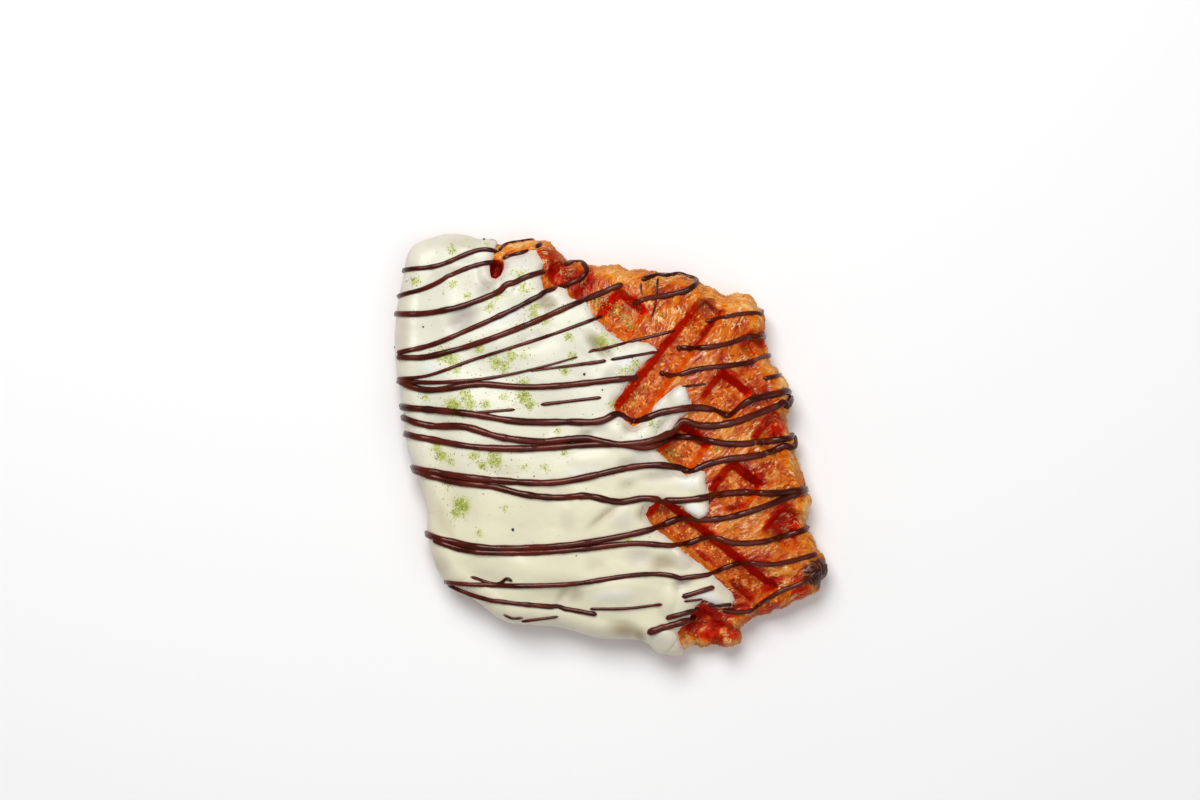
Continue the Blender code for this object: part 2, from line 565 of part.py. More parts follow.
class Plan:
    """Points and lines to be joined up into triangles."""

    def __init__(self):
        self.points = []
        self.edges = []

    def add_line(self, path, closed=False):
        first = len(self.points)
        self.points.extend(map(tuple, path))
        last = len(self.points) - 1
        self.edges.extend((k, k + 1) for k in range(first, last))
        if closed:
            self.edges.append((last, first))

    def fill(self, candidates, spacing):
        """Adds the candidates that keep clear of what is there."""
        ends = np.array([self.points[a] + self.points[b] for a, b in self.edges])
        marks = [np.array(self.points)]
        for share in (0.25, 0.5, 0.75):
            marks.append(ends[:, :2] * (1 - share) + ends[:, 2:] * share)
        marks = np.vstack(marks)
        for point in candidates:
            if np.min(np.hypot(marks[:, 0] - point[0], marks[:, 1] - point[1])) > spacing:
                self.points.append(tuple(point))

    def triangles(self, border):
        """Points and the triangles inside a border, turned to face up."""
        result = delaunay_2d_cdt(self.points, self.edges, [], 0, 0.04)
        points = np.array([tuple(p) for p in result[0]])
        faces = np.array([tuple(f) for f in result[2]])
        a, b, c = points[faces[:, 0]], points[faces[:, 1]], points[faces[:, 2]]
        faces = faces[inside((a + b + c) / 3, border)]
        a, b, c = points[faces[:, 0]], points[faces[:, 1]], points[faces[:, 2]]
        area = (b[:, 0] - a[:, 0]) * (c[:, 1] - a[:, 1]) - (b[:, 1] - a[:, 1]) * (c[:, 0] - a[:, 0])
        faces[area < 0] = faces[area < 0][:, ::-1]
        return points, faces[np.abs(area) > 1e-7]


def boundary_loop(faces):
    """The one closed run of border corners of a set of triangles, in order."""
    sides = {}
    for a, b, c in faces:
        for start, stop in ((a, b), (b, c), (c, a)):
            sides[(start, stop)] = True
    follow = {start: stop for start, stop in sides if (stop, start) not in sides}
    first = next(iter(follow))
    loop = [first]
    while follow[loop[-1]] != first:
        loop.append(follow[loop[-1]])
    return loop


def add_clipped(plan, loop, mask):
    """Adds the parts of a closed loop over which the mask holds."""
    if mask.all():
        plan.add_line(loop, closed=True)
        return
    shift = int(np.argmin(mask))
    for piece in runs_where(np.roll(loop, -shift, axis=0), np.roll(mask, -shift)):
        plan.add_line(piece)


def upper_plan(rim, rng):
    """Triangles of the pastry's upper face and side, in the unrolled plan."""
    plan = Plan()
    plan.add_line(rim.loop, closed=True)
    for depth in ring_depths(rim):
        plan.add_line(rim.ring(depth), closed=True)
    plan.add_line(COAT_LOOP[:len(COAT_EDGE) + 1])
    plan.add_line(COAT_LOOP[[len(COAT_LOOP) - 1, 0]])
    for hollow in HOLLOWS:
        half = min(hollow[1], hollow[2])
        for shrink in (0.0, min(WALL_RUN, half * WALL_SHARE_MOST)):
            loop = hollow_loop(hollow, shrink, MOUTH_STEP)
            mask = rim_measure(loop)[0] > SIDE_BAND + 0.4
            if shrink == 0.0:
                mask &= ~inside(loop, COAT_LOOP) | (nearest(loop, COAT_LOOP, closed=True)[0] < 0.2)
            add_clipped(plan, loop, mask)
    for line in stroke_lines(over_coat=False):
        plan.add_line(line)
    bare = hex_points(BARE_STEP, rng)
    bare = bare[~inside(bare, COAT_LOOP) & (rim_measure(bare)[0] > SIDE_BAND + 0.8)]
    plan.fill(bare, BARE_STEP * 0.5)
    iced = hex_points(ICED_STEP, rng)
    iced = iced[inside(iced, COAT_LOOP) & (rim_measure(iced)[0] > SIDE_BAND + 1.5)]
    plan.fill(iced, ICED_STEP * 0.5)
    return plan.triangles(rim.loop)


def under_hollows(border):
    """Hollows of the underside: the same pressed pattern, wherever it meets the flat."""
    wanted = []
    for i in range(-UNDER_REACH, UNDER_REACH + 1):
        for j in range(-UNDER_REACH, UNDER_REACH + 1):
            if i and j:
                centre = grid_point(i * GRID_PITCH, j * GRID_PITCH)
                wanted.append((centre, POCKET_HALF, POCKET_HALF, GRID_TURN))
    middle, half = (UNDER_GROOVE[0] + UNDER_GROOVE[1]) / 2, (UNDER_GROOVE[1] - UNDER_GROOVE[0]) / 2
    for side in (1, -1):
        wanted.append((grid_point(side * middle, 0.0), half, GROOVE_HALF, GRID_TURN))
        wanted.append((grid_point(0.0, side * middle), GROOVE_HALF, half, GRID_TURN))
    return [hollow for hollow in wanted if inside(hollow_loop(hollow, 0.0, 3.0), border).mean() > 0.3]


def under_plan(border, rng):
    """Triangles of the underside, facing down, with the height of each point."""
    plan = Plan()
    plan.add_line(border, closed=True)
    hollows = under_hollows(border)
    for hollow in hollows:
        for shrink in (0.0, WALL_RUN):
            loop = hollow_loop(hollow, shrink, UNDER_MOUTH_STEP)
            mask = inside(loop, border) & (nearest(loop, border, closed=True)[0] > UNDER_MARGIN)
            add_clipped(plan, loop, mask)
    spots = hex_points(UNDER_STEP, rng)
    spots = spots[inside(spots, border)]
    plan.fill(spots, UNDER_STEP * 0.45)
    points, faces = plan.triangles(border)
    height = np.zeros(len(points))
    for hollow in hollows:
        out, half = hollow_measure(points, hollow)
        height = np.maximum(height, UNDER_DEPTH * np.clip((half - out) / WALL_RUN, 0.0, 1.0))
    height *= smoothstep(nearest(points, border, closed=True)[0], 0.4, 2.6)
    height[height < 0.05] = 0.0
    return points, faces[:, ::-1], height


def pastry_mesh(rng):
    """The pastry as one closed mesh, and the part of its upper face that the coat lies on."""
    rim = Rim(EDGE_STEP)
    plan, faces = upper_plan(rim, rng)
    place = surface(plan)
    bare = 1.0 - inside(plan, COAT_LOOP)
    place[:, 2] += ridge_height(plan) * bare * (nearest(plan, COAT_LOOP, closed=True)[0] > 0.3)
    loop = boundary_loop(faces)
    place[loop, 2] = 0.0
    points, under, height = under_plan(place[loop][:, :2], rng)
    extra, where = [], []
    for point, up in zip(points, height):
        off = np.hypot(*(place[loop][:, :2] - point).T)
        if off.min() < 0.05 and up == 0.0:
            where.append(loop[int(np.argmin(off))])
        else:
            where.append(len(place) + len(extra))
            extra.append((point[0], point[1], up))
    vertices = np.vstack([place, extra])
    under = np.array(where)[under]
    centre = (plan[faces[:, 0]] + plan[faces[:, 1]] + plan[faces[:, 2]]) / 3
    return vertices, np.vstack([faces, under]), plan, faces[inside(centre, COAT_LOOP)]


def coat_mesh(plan, faces, rng):
    """The coat as one closed mesh over its part of the pastry's upper face."""
    used, compact = np.unique(faces, return_inverse=True)
    under_plan_points = plan[used]
    under = compact.reshape(-1, 3)
    loop = boundary_loop(under)
    border = under_plan_points[loop]
    top = Plan()
    top.add_line(border, closed=True)
    for depth in SIDE_RINGS[:DRIP_RING]:
        ring = FINE_RIM.ring(np.full(len(FINE_RIM.loop), depth))
        mask = inside(ring, border) & (nearest(ring, border, closed=True)[0] > 0.7)
        shift = int(np.argmin(mask))
        for piece in runs_where(np.roll(ring, -shift, axis=0), np.roll(mask, -shift)):
            top.add_line(piece[::3])
    for line in stroke_lines(over_coat=True):
        top.add_line(line)
    spots = hex_points(COAT_LIP_RUN, rng)
    off = nearest(spots, border, closed=True)[0]
    deep = rim_measure(spots)[0]
    spots = spots[inside(spots, border) & (off < COAT_LIP_RUN * 0.8) & (deep > SIDE_BAND)]
    top.fill(spots, COAT_LIP_RUN * 0.42)
    spots = hex_points(ICED_STEP, rng)
    spots = spots[inside(spots, border) & (rim_measure(spots)[0] > SIDE_BAND + 1.2)]
    top.fill(spots, ICED_STEP * 0.47)
    over_points, over = top.triangles(border)
    low = surface(under_plan_points, bare=False) + surface_normals(under_plan_points) * COAT_GAP
    rise = COAT_GAP + coat_thickness(over_points) + ridge_height(over_points)
    high = surface(over_points, bare=False) + surface_normals(over_points) * rise[:, None]
    over_loop = boundary_loop(over)
    match = [over_loop[int(np.argmin(np.hypot(*(over_points[over_loop] - p).T)))] for p in border]
    walls = []
    for k in range(len(loop)):
        a, b = loop[k], loop[(k + 1) % len(loop)]
        c, d = match[k] + len(low), match[(k + 1) % len(loop)] + len(low)
        walls.append((a, b, d))
        walls.append((a, d, c))
    shapes = [under[:, ::-1], over + len(low), np.array(walls)]
    return np.vstack([low, high]), np.vstack(shapes)


def make_material(name, colour, roughness):
    material = bpy.data.materials.new(name)
    material.use_nodes = True
    shader = material.node_tree.nodes["Principled BSDF"]
    shader.inputs["Base Color"].default_value = (*colour, 1.0)
    shader.inputs["Roughness"].default_value = roughness
    material.diffuse_color = (*colour, 1.0)
    return material


def make_object(name, vertices, faces, material, shift):
    mesh = bpy.data.meshes.new(name)
    mesh.from_pydata(((vertices + shift) * MM).tolist(), [], faces.tolist())
    mesh.materials.append(material)
    mesh.polygons.foreach_set("use_smooth", [True] * len(mesh.polygons))
    mesh.update()
    node = bpy.data.objects.new(name, mesh)
    bpy.context.scene.collection.objects.link(node)
    return node


def main():
    for old in list(bpy.data.objects):
        bpy.data.objects.remove(old, do_unlink=True)
    rng = np.random.default_rng(SEED)
    body, body_faces, plan, coated = pastry_mesh(rng)
    coat, coat_faces = coat_mesh(plan, coated, rng)
    everything = np.vstack([body, coat])
    middle = (everything.max(axis=0) + everything.min(axis=0)) / 2
    shift = np.array((-middle[0], -middle[1], 0.0))
    pastry = make_material("pastry_brown", (0.55, 0.21, 0.05), 0.6)
    icing = make_material("icing_ivory", (0.86, 0.80, 0.66), 0.35)
    make_object("pastry", body, body_faces, pastry, shift)
    make_object("icing", coat, coat_faces, icing, shift)


main()
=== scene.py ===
import math

import bpy
import numpy as np
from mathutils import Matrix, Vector
from mathutils.geometry import delaunay_2d_cdt
from mathutils.kdtree import KDTree


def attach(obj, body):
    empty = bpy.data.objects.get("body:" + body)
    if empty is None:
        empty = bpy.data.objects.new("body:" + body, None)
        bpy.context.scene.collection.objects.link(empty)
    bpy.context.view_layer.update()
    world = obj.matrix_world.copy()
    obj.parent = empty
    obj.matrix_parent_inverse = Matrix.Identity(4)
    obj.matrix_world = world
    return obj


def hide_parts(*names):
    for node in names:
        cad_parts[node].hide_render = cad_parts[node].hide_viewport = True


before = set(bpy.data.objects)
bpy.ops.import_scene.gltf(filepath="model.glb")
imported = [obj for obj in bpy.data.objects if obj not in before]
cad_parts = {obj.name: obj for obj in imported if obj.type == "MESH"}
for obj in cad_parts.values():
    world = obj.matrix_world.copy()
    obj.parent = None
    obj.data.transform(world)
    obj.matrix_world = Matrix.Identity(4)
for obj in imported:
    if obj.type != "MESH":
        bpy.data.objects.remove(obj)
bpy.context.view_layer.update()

# The plan is drawn in millimetres; this moves it onto the frame's origin
MM = 0.001
SHIFT = (-0.207, 0.876, 0.0)

# Body of the pastry, with the lump at its burnt tip: place, half length, half width, turn, rise
CROWN_HEIGHT = 18.6
DOME_DROP = 3.0
DOME_REACH_X = 58.0
DOME_REACH_Y = 56.0
EDGE_FALL = 2.6
EDGE_FALL_REACH = 15.0
WAVE_HEIGHT = 0.35
TIP_LUMP = (55.6, -35.4, 5.0, 3.6, 20, 1.5)

# Rounded side: how far it runs in from the widest line, above and below
SIDE_BAND = 4.0
SIDE_SPLIT = 1.6
LOWER_TUCK = 3.2
NORMAL_BLEND = 6.0

# Ragged rim of the bare part: wave length, size and phase of each bump
RIM_BUMPS = ((5.3, 0.22, 0.4), (8.9, 0.30, 1.9), (14.3, 0.28, 3.1))
BARE_INSET = 0.3

# Pressed pattern: its centre, turn and pitch, and the form of its pockets and grooves
GRID_CENTRE = (-4.6, -4.05)
GRID_TURN = math.radians(-38.4)
GRID_PITCH = 17.5
POCKET_HALF = 5.4
POCKET_UNEVEN = 0.22
GROOVE_HALF = 4.1
HOLLOW_DEPTH = 4.4
CORNER_POWER = 8.0
SLIT_POWER = 3.0
CORNER_LEANS = (31.0, 45.0, 59.0)
HOLLOW_EDGE_START = 1.0
HOLLOW_EDGE_FULL = 5.2
BARE_POCKETS = ((-2, 2), (-1, 2), (1, 2), (2, 2), (1, 1), (2, 1), (3, 1), (3, -1), (1, 3), (-1, 3))
GROOVE_ONE = (13.6, 53.0)
GROOVE_TWO = (20.2, 61.0)
SLIT = (-30.3, 45.9, 1.75, 2.7)

# Walls of the hollows: their width, the part of a hollow they may take, and how uneven they are
WALL_WIDTH = 1.7
WALL_SHARE = 0.55
FLOOR_SHIFT = (-0.25, -0.8)
RAGGED = 0.42

# Soft hollows that show through the coat, a little deeper here than in the solids
SOFT_DEPTH = 1.15
SOFT_DEEPENED = 1.25
SOFT_GROOVE_SHARE = 0.75

# Underside
UNDER_DEPTH = 3.4
UNDER_MARGIN = 0.8
UNDER_REACH = 4
UNDER_GROOVE = (13.6, 61.0)
UNDER_WALL = 1.0

# Coat of icing: its thickness, its rounded lip and the uneven edge low on the side
COAT_GAP = 0.3
COAT_THICKNESS = 1.35
COAT_INSET = 1.65
COAT_INSET_RUN = 6.0
LIP_RADIUS = 2.1
LIP_LOW = 0.2
DRIP_DEPTH = 1.15
DRIP_WAVE = 0.11
DRIP_STEP = 2.4

# Longest edges of the triangles, and the gaps between the first scattered points
BARE_EDGE = 0.5
WALL_EDGE = 0.38
SIDE_EDGE = 0.42
HIDDEN_EDGE = 4.0
COAT_FACE_EDGE = 0.7
COAT_SIDE_EDGE = 0.5
COAT_LIP_EDGE = 0.34
UNDER_EDGE = 1.3
RIM_STEP = 0.9
SIDE_LINES = (4.0, 2.6, 1.6, 0.8)
LOOP_STEP = 4.0
TOP_SPACING = 3.4
UNDER_SPACING = 6.0
COAT_SPACING = 2.6

# Strands of drizzle: how deep they sit, how even they are, and the tail that runs down the side
STRAND_STEP = 0.5
STRAND_SINK = 0.35
STRAND_UNEVEN = 0.3
STRAND_LIFT = 0.08
STRAND_THINNEST = 0.06
STRAND_FLATNESS = 0.72
STRAND_SIDES = 12
RIPPLE_SHARE = 0.3
RIPPLE_SCALE = 260.0
TAIL_FROM = 2.6
TAIL_LENGTH = 2.0
TAIL_STEP = 0.4
TAIL_LOWEST = 0.75

# Green crumbs: least and most a spot, least spread and what is added to it, the share that stray and how
# much further, the least half size and what is added to it, and the dusting between the spots
CRUMBS_A_SPOT = (26, 64)
CRUMB_SPREAD = (0.55, 0.5)
CRUMB_STRAY = (0.3, 2.2)
CRUMB_HALF = 0.07
CRUMB_HALF_MORE = 0.13
DUST_HALF_MORE = 0.09
DUST_CORNERS = ((-56, -30), (12, 54))
DUST_COUNT = 420
CRUMB_SIZES = (0.6, 1.3)
SPECK_SIZES = (0.7, 1.0)

# Noise: cells of its table, and how each finer size fades and is shifted
NOISE_CELLS = 128
OCTAVE_FADE = 0.55
OCTAVE_SHIFT = 17.3

# Scattered points reach over the whole plan and stray by a share of their spacing
SCATTER_REACH_X = 62.0
SCATTER_REACH_Y = 60.0
SCATTER_STRAY = 0.16
INSIDE_BATCH = 20000

# Seeds of what is scattered
PASTRY_SEED = 11
COAT_SEED = 13
CRUMB_PLACE_SEED = 17
CRUMB_SEED = 23
SPECK_SEED = 29

# Flow of the dough's layers, fanned out from one point, and the burnt tip
FAN_FOOT = (-51.0, -77.0)
FAN_SCALE = 125.0
STREAK_BEND = 7.0
LAYER_PACE = 34.0
DARK_TIP = (56.0, -35.2, 5.0)

# Stage, in metres and watts: each light's place, size and power
FLOOR_HALF = 3.0
FLOOR_WHITE = (0.92, 0.92, 0.92, 1.0)
KEY_LIGHT = ((-0.15, 0.42, 0.80), 0.45, 6.5)
FILL_LIGHT = ((0.35, -0.25, 0.95), 0.9, 2.4)
LIGHT_AIM = (0.0, 0.0, 0.01)
SKY_STRENGTH = 0.27
CAMERA_PLACE = (-0.0028, 0.0121, 0.772)
CAMERA_LENS = 85.0

# Plan of the whole, clockwise from the left lobe
OUTLINE = (
    (-55.9, 46.2), (-54.0, 52.4), (-47.2, 55.9), (-38.6, 56.4), (-30.5, 53.2), (-24.0, 54.5), (-17.6, 54.3),
    (-12.4, 50.2), (-5.1, 47.8), (3.0, 47.6), (11.1, 45.9), (21.3, 44.6), (30.0, 40.5), (37.8, 39.2),
    (42.2, 33.8), (42.0, 26.5), (47.2, 16.5), (49.0, 11.6), (48.3, 6.8), (50.4, -1.4), (51.9, -8.4),
    (54.4, -16.5), (54.2, -24.6), (59.2, -34.4), (54.4, -41.4), (44.6, -45.9), (36.4, -49.8), (35.6, -53.6),
    (32.6, -55.6), (24.0, -55.4), (14.9, -57.0), (8.1, -54.0), (-1.4, -53.7), (-13.8, -50.5),
    (-29.2, -48.4), (-38.1, -42.1), (-45.2, -37.0), (-49.2, -27.5), (-50.0, -16.7), (-54.3, -3.2),
    (-56.4, 10.3), (-58.3, 30.5),
)

# Strokes of drizzle: width, or the widths of both ends, then the points that each one passes
STROKES = (
    (1.3, ((-56.0, 46.1), (-47.3, 46.9), (-32.7, 51.3), (-29.9, 50.9))),
    (0.9, ((-29.9, 50.9), (-28.3, 52.7), (-21.6, 54.3))),
    (1.3, ((-19.8, 52.1), (-18.0, 53.6))),
    (1.3, ((-56.7, 39.2), (-49.7, 41.0), (-36.2, 47.1), (-30.7, 48.3))),
    (1.2, ((-28.7, 49.1), (-21.8, 51.2))),
    (1.6, ((-58.4, 34.5), (-53.7, 34.2), (-30.7, 39.5), (-23.6, 43.4), (-17.2, 45.8))),
    (1.4, ((-12.3, 47.5), (-10.1, 48.5), (-7.6, 48.6), (-6.4, 47.1), (-18.0, 39.5), (-38.6, 29.5),
           (-47.3, 26.0), (-57.0, 23.8))),
    (1.6, ((-57.1, 22.7), (-49.7, 22.6), (-41.8, 24.4), (3.5, 42.2))),
    ((0.8, 0.95), ((-56.7, 17.0), (-50.5, 17.4), (-36.2, 22.0), (-14.8, 28.8), (-1.8, 33.6))),
    ((1.5, 0.45), ((-56.7, 16.2), (-46.5, 15.9), (-35.4, 16.6), (-18.0, 20.0), (-8.5, 22.7))),
    ((0.5, 1.1), ((-21.2, 18.9), (-0.9, 21.6))),
    (0.8, ((0.2, 21.9), (13.3, 24.2))),
    (0.8, ((-5.7, 23.9), (17.6, 29.8))),
    (1.7, ((-56.5, 16.2), (-51.3, 14.3), (-33.9, 15.4), (-24.3, 14.7), (7.7, 17.2))),
    (1.4, ((6.1, 36.7), (8.9, 38.0), (16.8, 39.5), (21.8, 41.2), (23.5, 43.4), (20.8, 45.2), (13.7, 45.0),
           (8.4, 43.3))),
    (1.1, ((25.6, 32.3), (37.4, 34.5), (42.2, 34.7))),
    (1.5, ((18.8, 25.3), (22.4, 25.1), (31.9, 26.4), (36.6, 28.0), (42.3, 28.7))),
    (1.4, ((14.6, 18.2), (17.0, 17.8), (22.4, 19.2), (38.2, 21.6), (42.6, 23.1))),
    (1.1, ((41.0, 16.8), (46.9, 18.2))),
    (0.6, ((19.2, 14.8), (25.7, 15.5))),
    (1.9, ((-56.4, 9.4), (-35.4, 7.3), (-25.9, 5.7), (-11.7, 5.4), (-1.4, 6.0), (1.9, 7.5), (5.4, 5.6),
           (13.7, 7.9), (26.3, 8.9), (32.0, 7.0), (36.6, 10.8), (40.8, 12.1), (45.0, 13.0),
           (48.2, 13.5), (49.0, 12.3))),
    (0.8, ((-36.2, 7.8), (-25.1, 8.7))),
    (0.9, ((-18.4, 10.0), (-2.2, 11.9))),
    (1.9, ((-56.5, 6.7), (-48.1, 4.4), (-38.6, 4.1), (-29.1, 1.4), (-18.0, 0.2), (-6.9, 1.0), (3.4, -0.6),
           (16.8, 3.2), (19.4, 5.6), (23.2, 4.6), (49.5, 11.1))),
    (1.8, ((-55.7, 2.2), (-33.9, -1.4), (-24.3, -1.7), (3.4, -0.6), (10.5, -1.3), (16.8, 1.1), (32.7, -0.5),
           (50.7, 1.2))),
    (1.8, ((50.7, 0.6), (43.8, -2.4), (24.4, -6.5), (21.8, -7.8), (18.4, -6.8), (-18.0, -10.8),
           (-36.2, -9.5), (-52.9, -7.0))),
    (1.8, ((-52.7, -7.6), (-42.6, -10.4), (-30.7, -11.9), (-22.8, -13.8), (-13.3, -14.7), (-6.9, -14.2),
           (3.4, -15.8), (8.9, -14.9), (15.3, -15.5), (35.1, -13.5), (45.4, -13.6), (53.7, -12.5))),
    (1.7, ((53.4, -13.0), (25.6, -20.6), (20.0, -20.3), (12.9, -22.6), (-3.0, -26.1), (-18.0, -27.9),
           (-34.6, -27.9), (-50.1, -24.7))),
    (1.6, ((54.9, -23.1), (40.6, -26.6), (32.7, -26.8), (27.1, -25.3), (20.8, -27.1), (5.7, -26.9),
           (-6.9, -28.3), (-26.7, -29.5), (-40.2, -28.5), (-47.3, -26.1))),
    (1.3, ((55.8, -30.1), (43.8, -32.6), (35.8, -32.3), (26.3, -35.2), (19.2, -35.8), (14.5, -35.2),
           (-13.3, -38.0), (-25.1, -38.3), (-44.5, -37.7))),
    (0.9, ((-37.2, -36.0), (-28.7, -37.4), (-27.5, -36.3), (-25.9, -37.1))),
    (1.3, ((-44.5, -37.9), (-36.2, -41.2), (-27.5, -42.8), (-15.2, -44.1), (-3.4, -46.0))),
    (0.8, ((-5.3, -44.5), (5.0, -44.3), (14.1, -43.2))),
    (0.8, ((-28.5, -46.1), (-25.8, -47.2), (-23.2, -46.9))),
    (0.8, ((-23.7, -48.1), (-13.7, -46.5))),
    (1.4, ((19.2, -41.2), (27.9, -38.5))),
    (0.7, ((19.7, -42.4), (24.8, -41.8))),
    (1.4, ((14.9, -47.0), (24.0, -44.5))),
    (1.9, ((10.1, -50.8), (23.2, -46.9))),
    (1.0, ((26.3, -43.7), (32.7, -43.4))),
    (1.3, ((30.3, -45.1), (36.6, -45.5), (46.1, -39.8), (50.9, -38.0), (56.4, -34.0))),
)

# Thin threads and blobs between the strokes
THREADS = (
    (0.6, ((8.3, 42.6), (8.4, 40.8), (8.7, 39.0))),
    (0.6, ((13.0, 44.0), (12.6, 41.5), (12.7, 39.3))),
    (0.6, ((12.4, 38.1), (12.0, 35.6), (11.0, 33.2))),
    (1.9, ((17.8, 25.2), (19.3, 25.1))),
    (1.7, ((13.3, 18.6), (14.8, 18.2))),
)


def turned(x, y, turn):
    """Distances along and across a turned direction."""
    return x * math.cos(turn) + y * math.sin(turn), y * math.cos(turn) - x * math.sin(turn)


def placed(centre, turn, along, across):
    """The place that lies so far along and across a turned direction from a centre."""
    c, s = math.cos(turn), math.sin(turn)
    return (centre[0] + along * c - across * s, centre[1] + along * s + across * c)


def grid_point(along, across):
    """A place in the plan, from its distances along and across the pressed pattern."""
    return placed(GRID_CENTRE, GRID_TURN, along, across)


def on_grid(*places):
    """Places in the plan, each from its distances along and across the pressed pattern."""
    return [grid_point(along, across) for along, across in places]


# Edge of the coat over the top, from the notch at the upper left to the lower right
COAT_START = (-30.5, 53.2)
COAT_EDGE = (
    (-30.8, 50.8), (-31.2, 49.0), (-32.2, 47.2), (-32.3, 45.6), (-31.6, 43.9), (-30.5, 43.4), (-29.2, 44.5),
    (-28.4, 46.4), (-28.4, 48.6), (-25.7, 50.5), (-21.9, 51.2), (-19.7, 51.3), (-18.9, 49.7), (-17.6, 47.8),
    (-17.6, 45.6), (-18.1, 43.5), (-17.6, 41.0), (-13.8, 41.2), (-11.6, 40.4), (-10.5, 38.6), (-8.6, 37.7),
    (-6.5, 37.5), (-5.2, 36.0),
    *on_grid((-22.9, 29.2), (-20.0, 29.2), (-17.5, 29.2), (-14.8, 29.2), (-12.2, 29.2)),
    (7.8, 26.9), (10.3, 26.5), (11.6, 25.4), (12.6, 24.4),
    *on_grid((-4.5, 29.0), (-4.5, 26.0), (-4.5, 23.0), (-4.5, 20.0), (-4.5, 17.0), (-4.3, 14.2),
             (-2.2, 13.2), (0.5, 13.1), (3.3, 13.4), (4.5, 15.6), (4.6, 18.4), (4.6, 20.9)),
    (13.6, 11.2), (15.7, 12.9), (18.6, 15.1), (20.3, 14.9), (20.8, 13.5), (21.3, 11.6), (21.6, 9.5),
    (21.3, 7.9),
    *on_grid((11.7, 22.9), (11.7, 20.0), (11.7, 17.5), (11.7, 14.6), (11.9, 11.9), (14.6, 11.7),
             (17.5, 11.7), (20.0, 11.7), (22.6, 11.7)),
    (22.3, -8.0), (24.0, -7.3), (25.4, -7.6), (25.8, -8.9), (25.4, -10.8), (25.9, -12.8), (26.7, -14.3),
    (26.5, -16.5), (26.6, -18.5), (25.7, -19.6),
    *on_grid((32.4, 4.7), (29.8, 4.5), (27.0, 4.5), (24.0, 3.7), (21.2, 2.0), (20.0, -1.0), (20.6, -3.0),
             (23.0, -4.2), (26.0, -4.5), (29.0, -4.5), (32.0, -4.5), (35.0, -4.5), (38.0, -4.5),
             (41.0, -4.5), (44.0, -4.5), (46.8, -4.7)),
    (31.3, -38.9), (32.7, -40.2), (33.3, -42.2), (32.6, -43.9), (30.2, -44.4), (27.7, -43.4),
    *on_grid((46.7, -11.6), (46.7, -14.5), (46.7, -17.5), (46.7, -20.3), (46.9, -22.7)),
    (18.6, -52.9), (19.1, -54.4),
)
COAT_END = (18.9, -56.2)

# Thicker and thinner places of the coat on its side: place, half length, half width, turn, extra thickness
COAT_LOBES = (
    (14.6, -54.2, 4.6, 4.4, 0, 1.1), (9.0, -53.8, 1.8, 3.8, 12, -0.8), (20.0, -52.6, 2.6, 4.0, -20, 0.5),
    (-22.0, -49.0, 7.0, 3.4, 8, 0.5), (-34.0, -43.0, 5.0, 3.6, 40, -0.4), (-51.0, -10.0, 3.6, 7.0, 10, 0.4),
    (-55.0, 24.0, 3.6, 8.0, 5, 0.4), (-52.0, 48.0, 6.0, 5.0, 45, 0.3), (-1.0, -53.0, 5.0, 3.6, 0, 0.4),
)

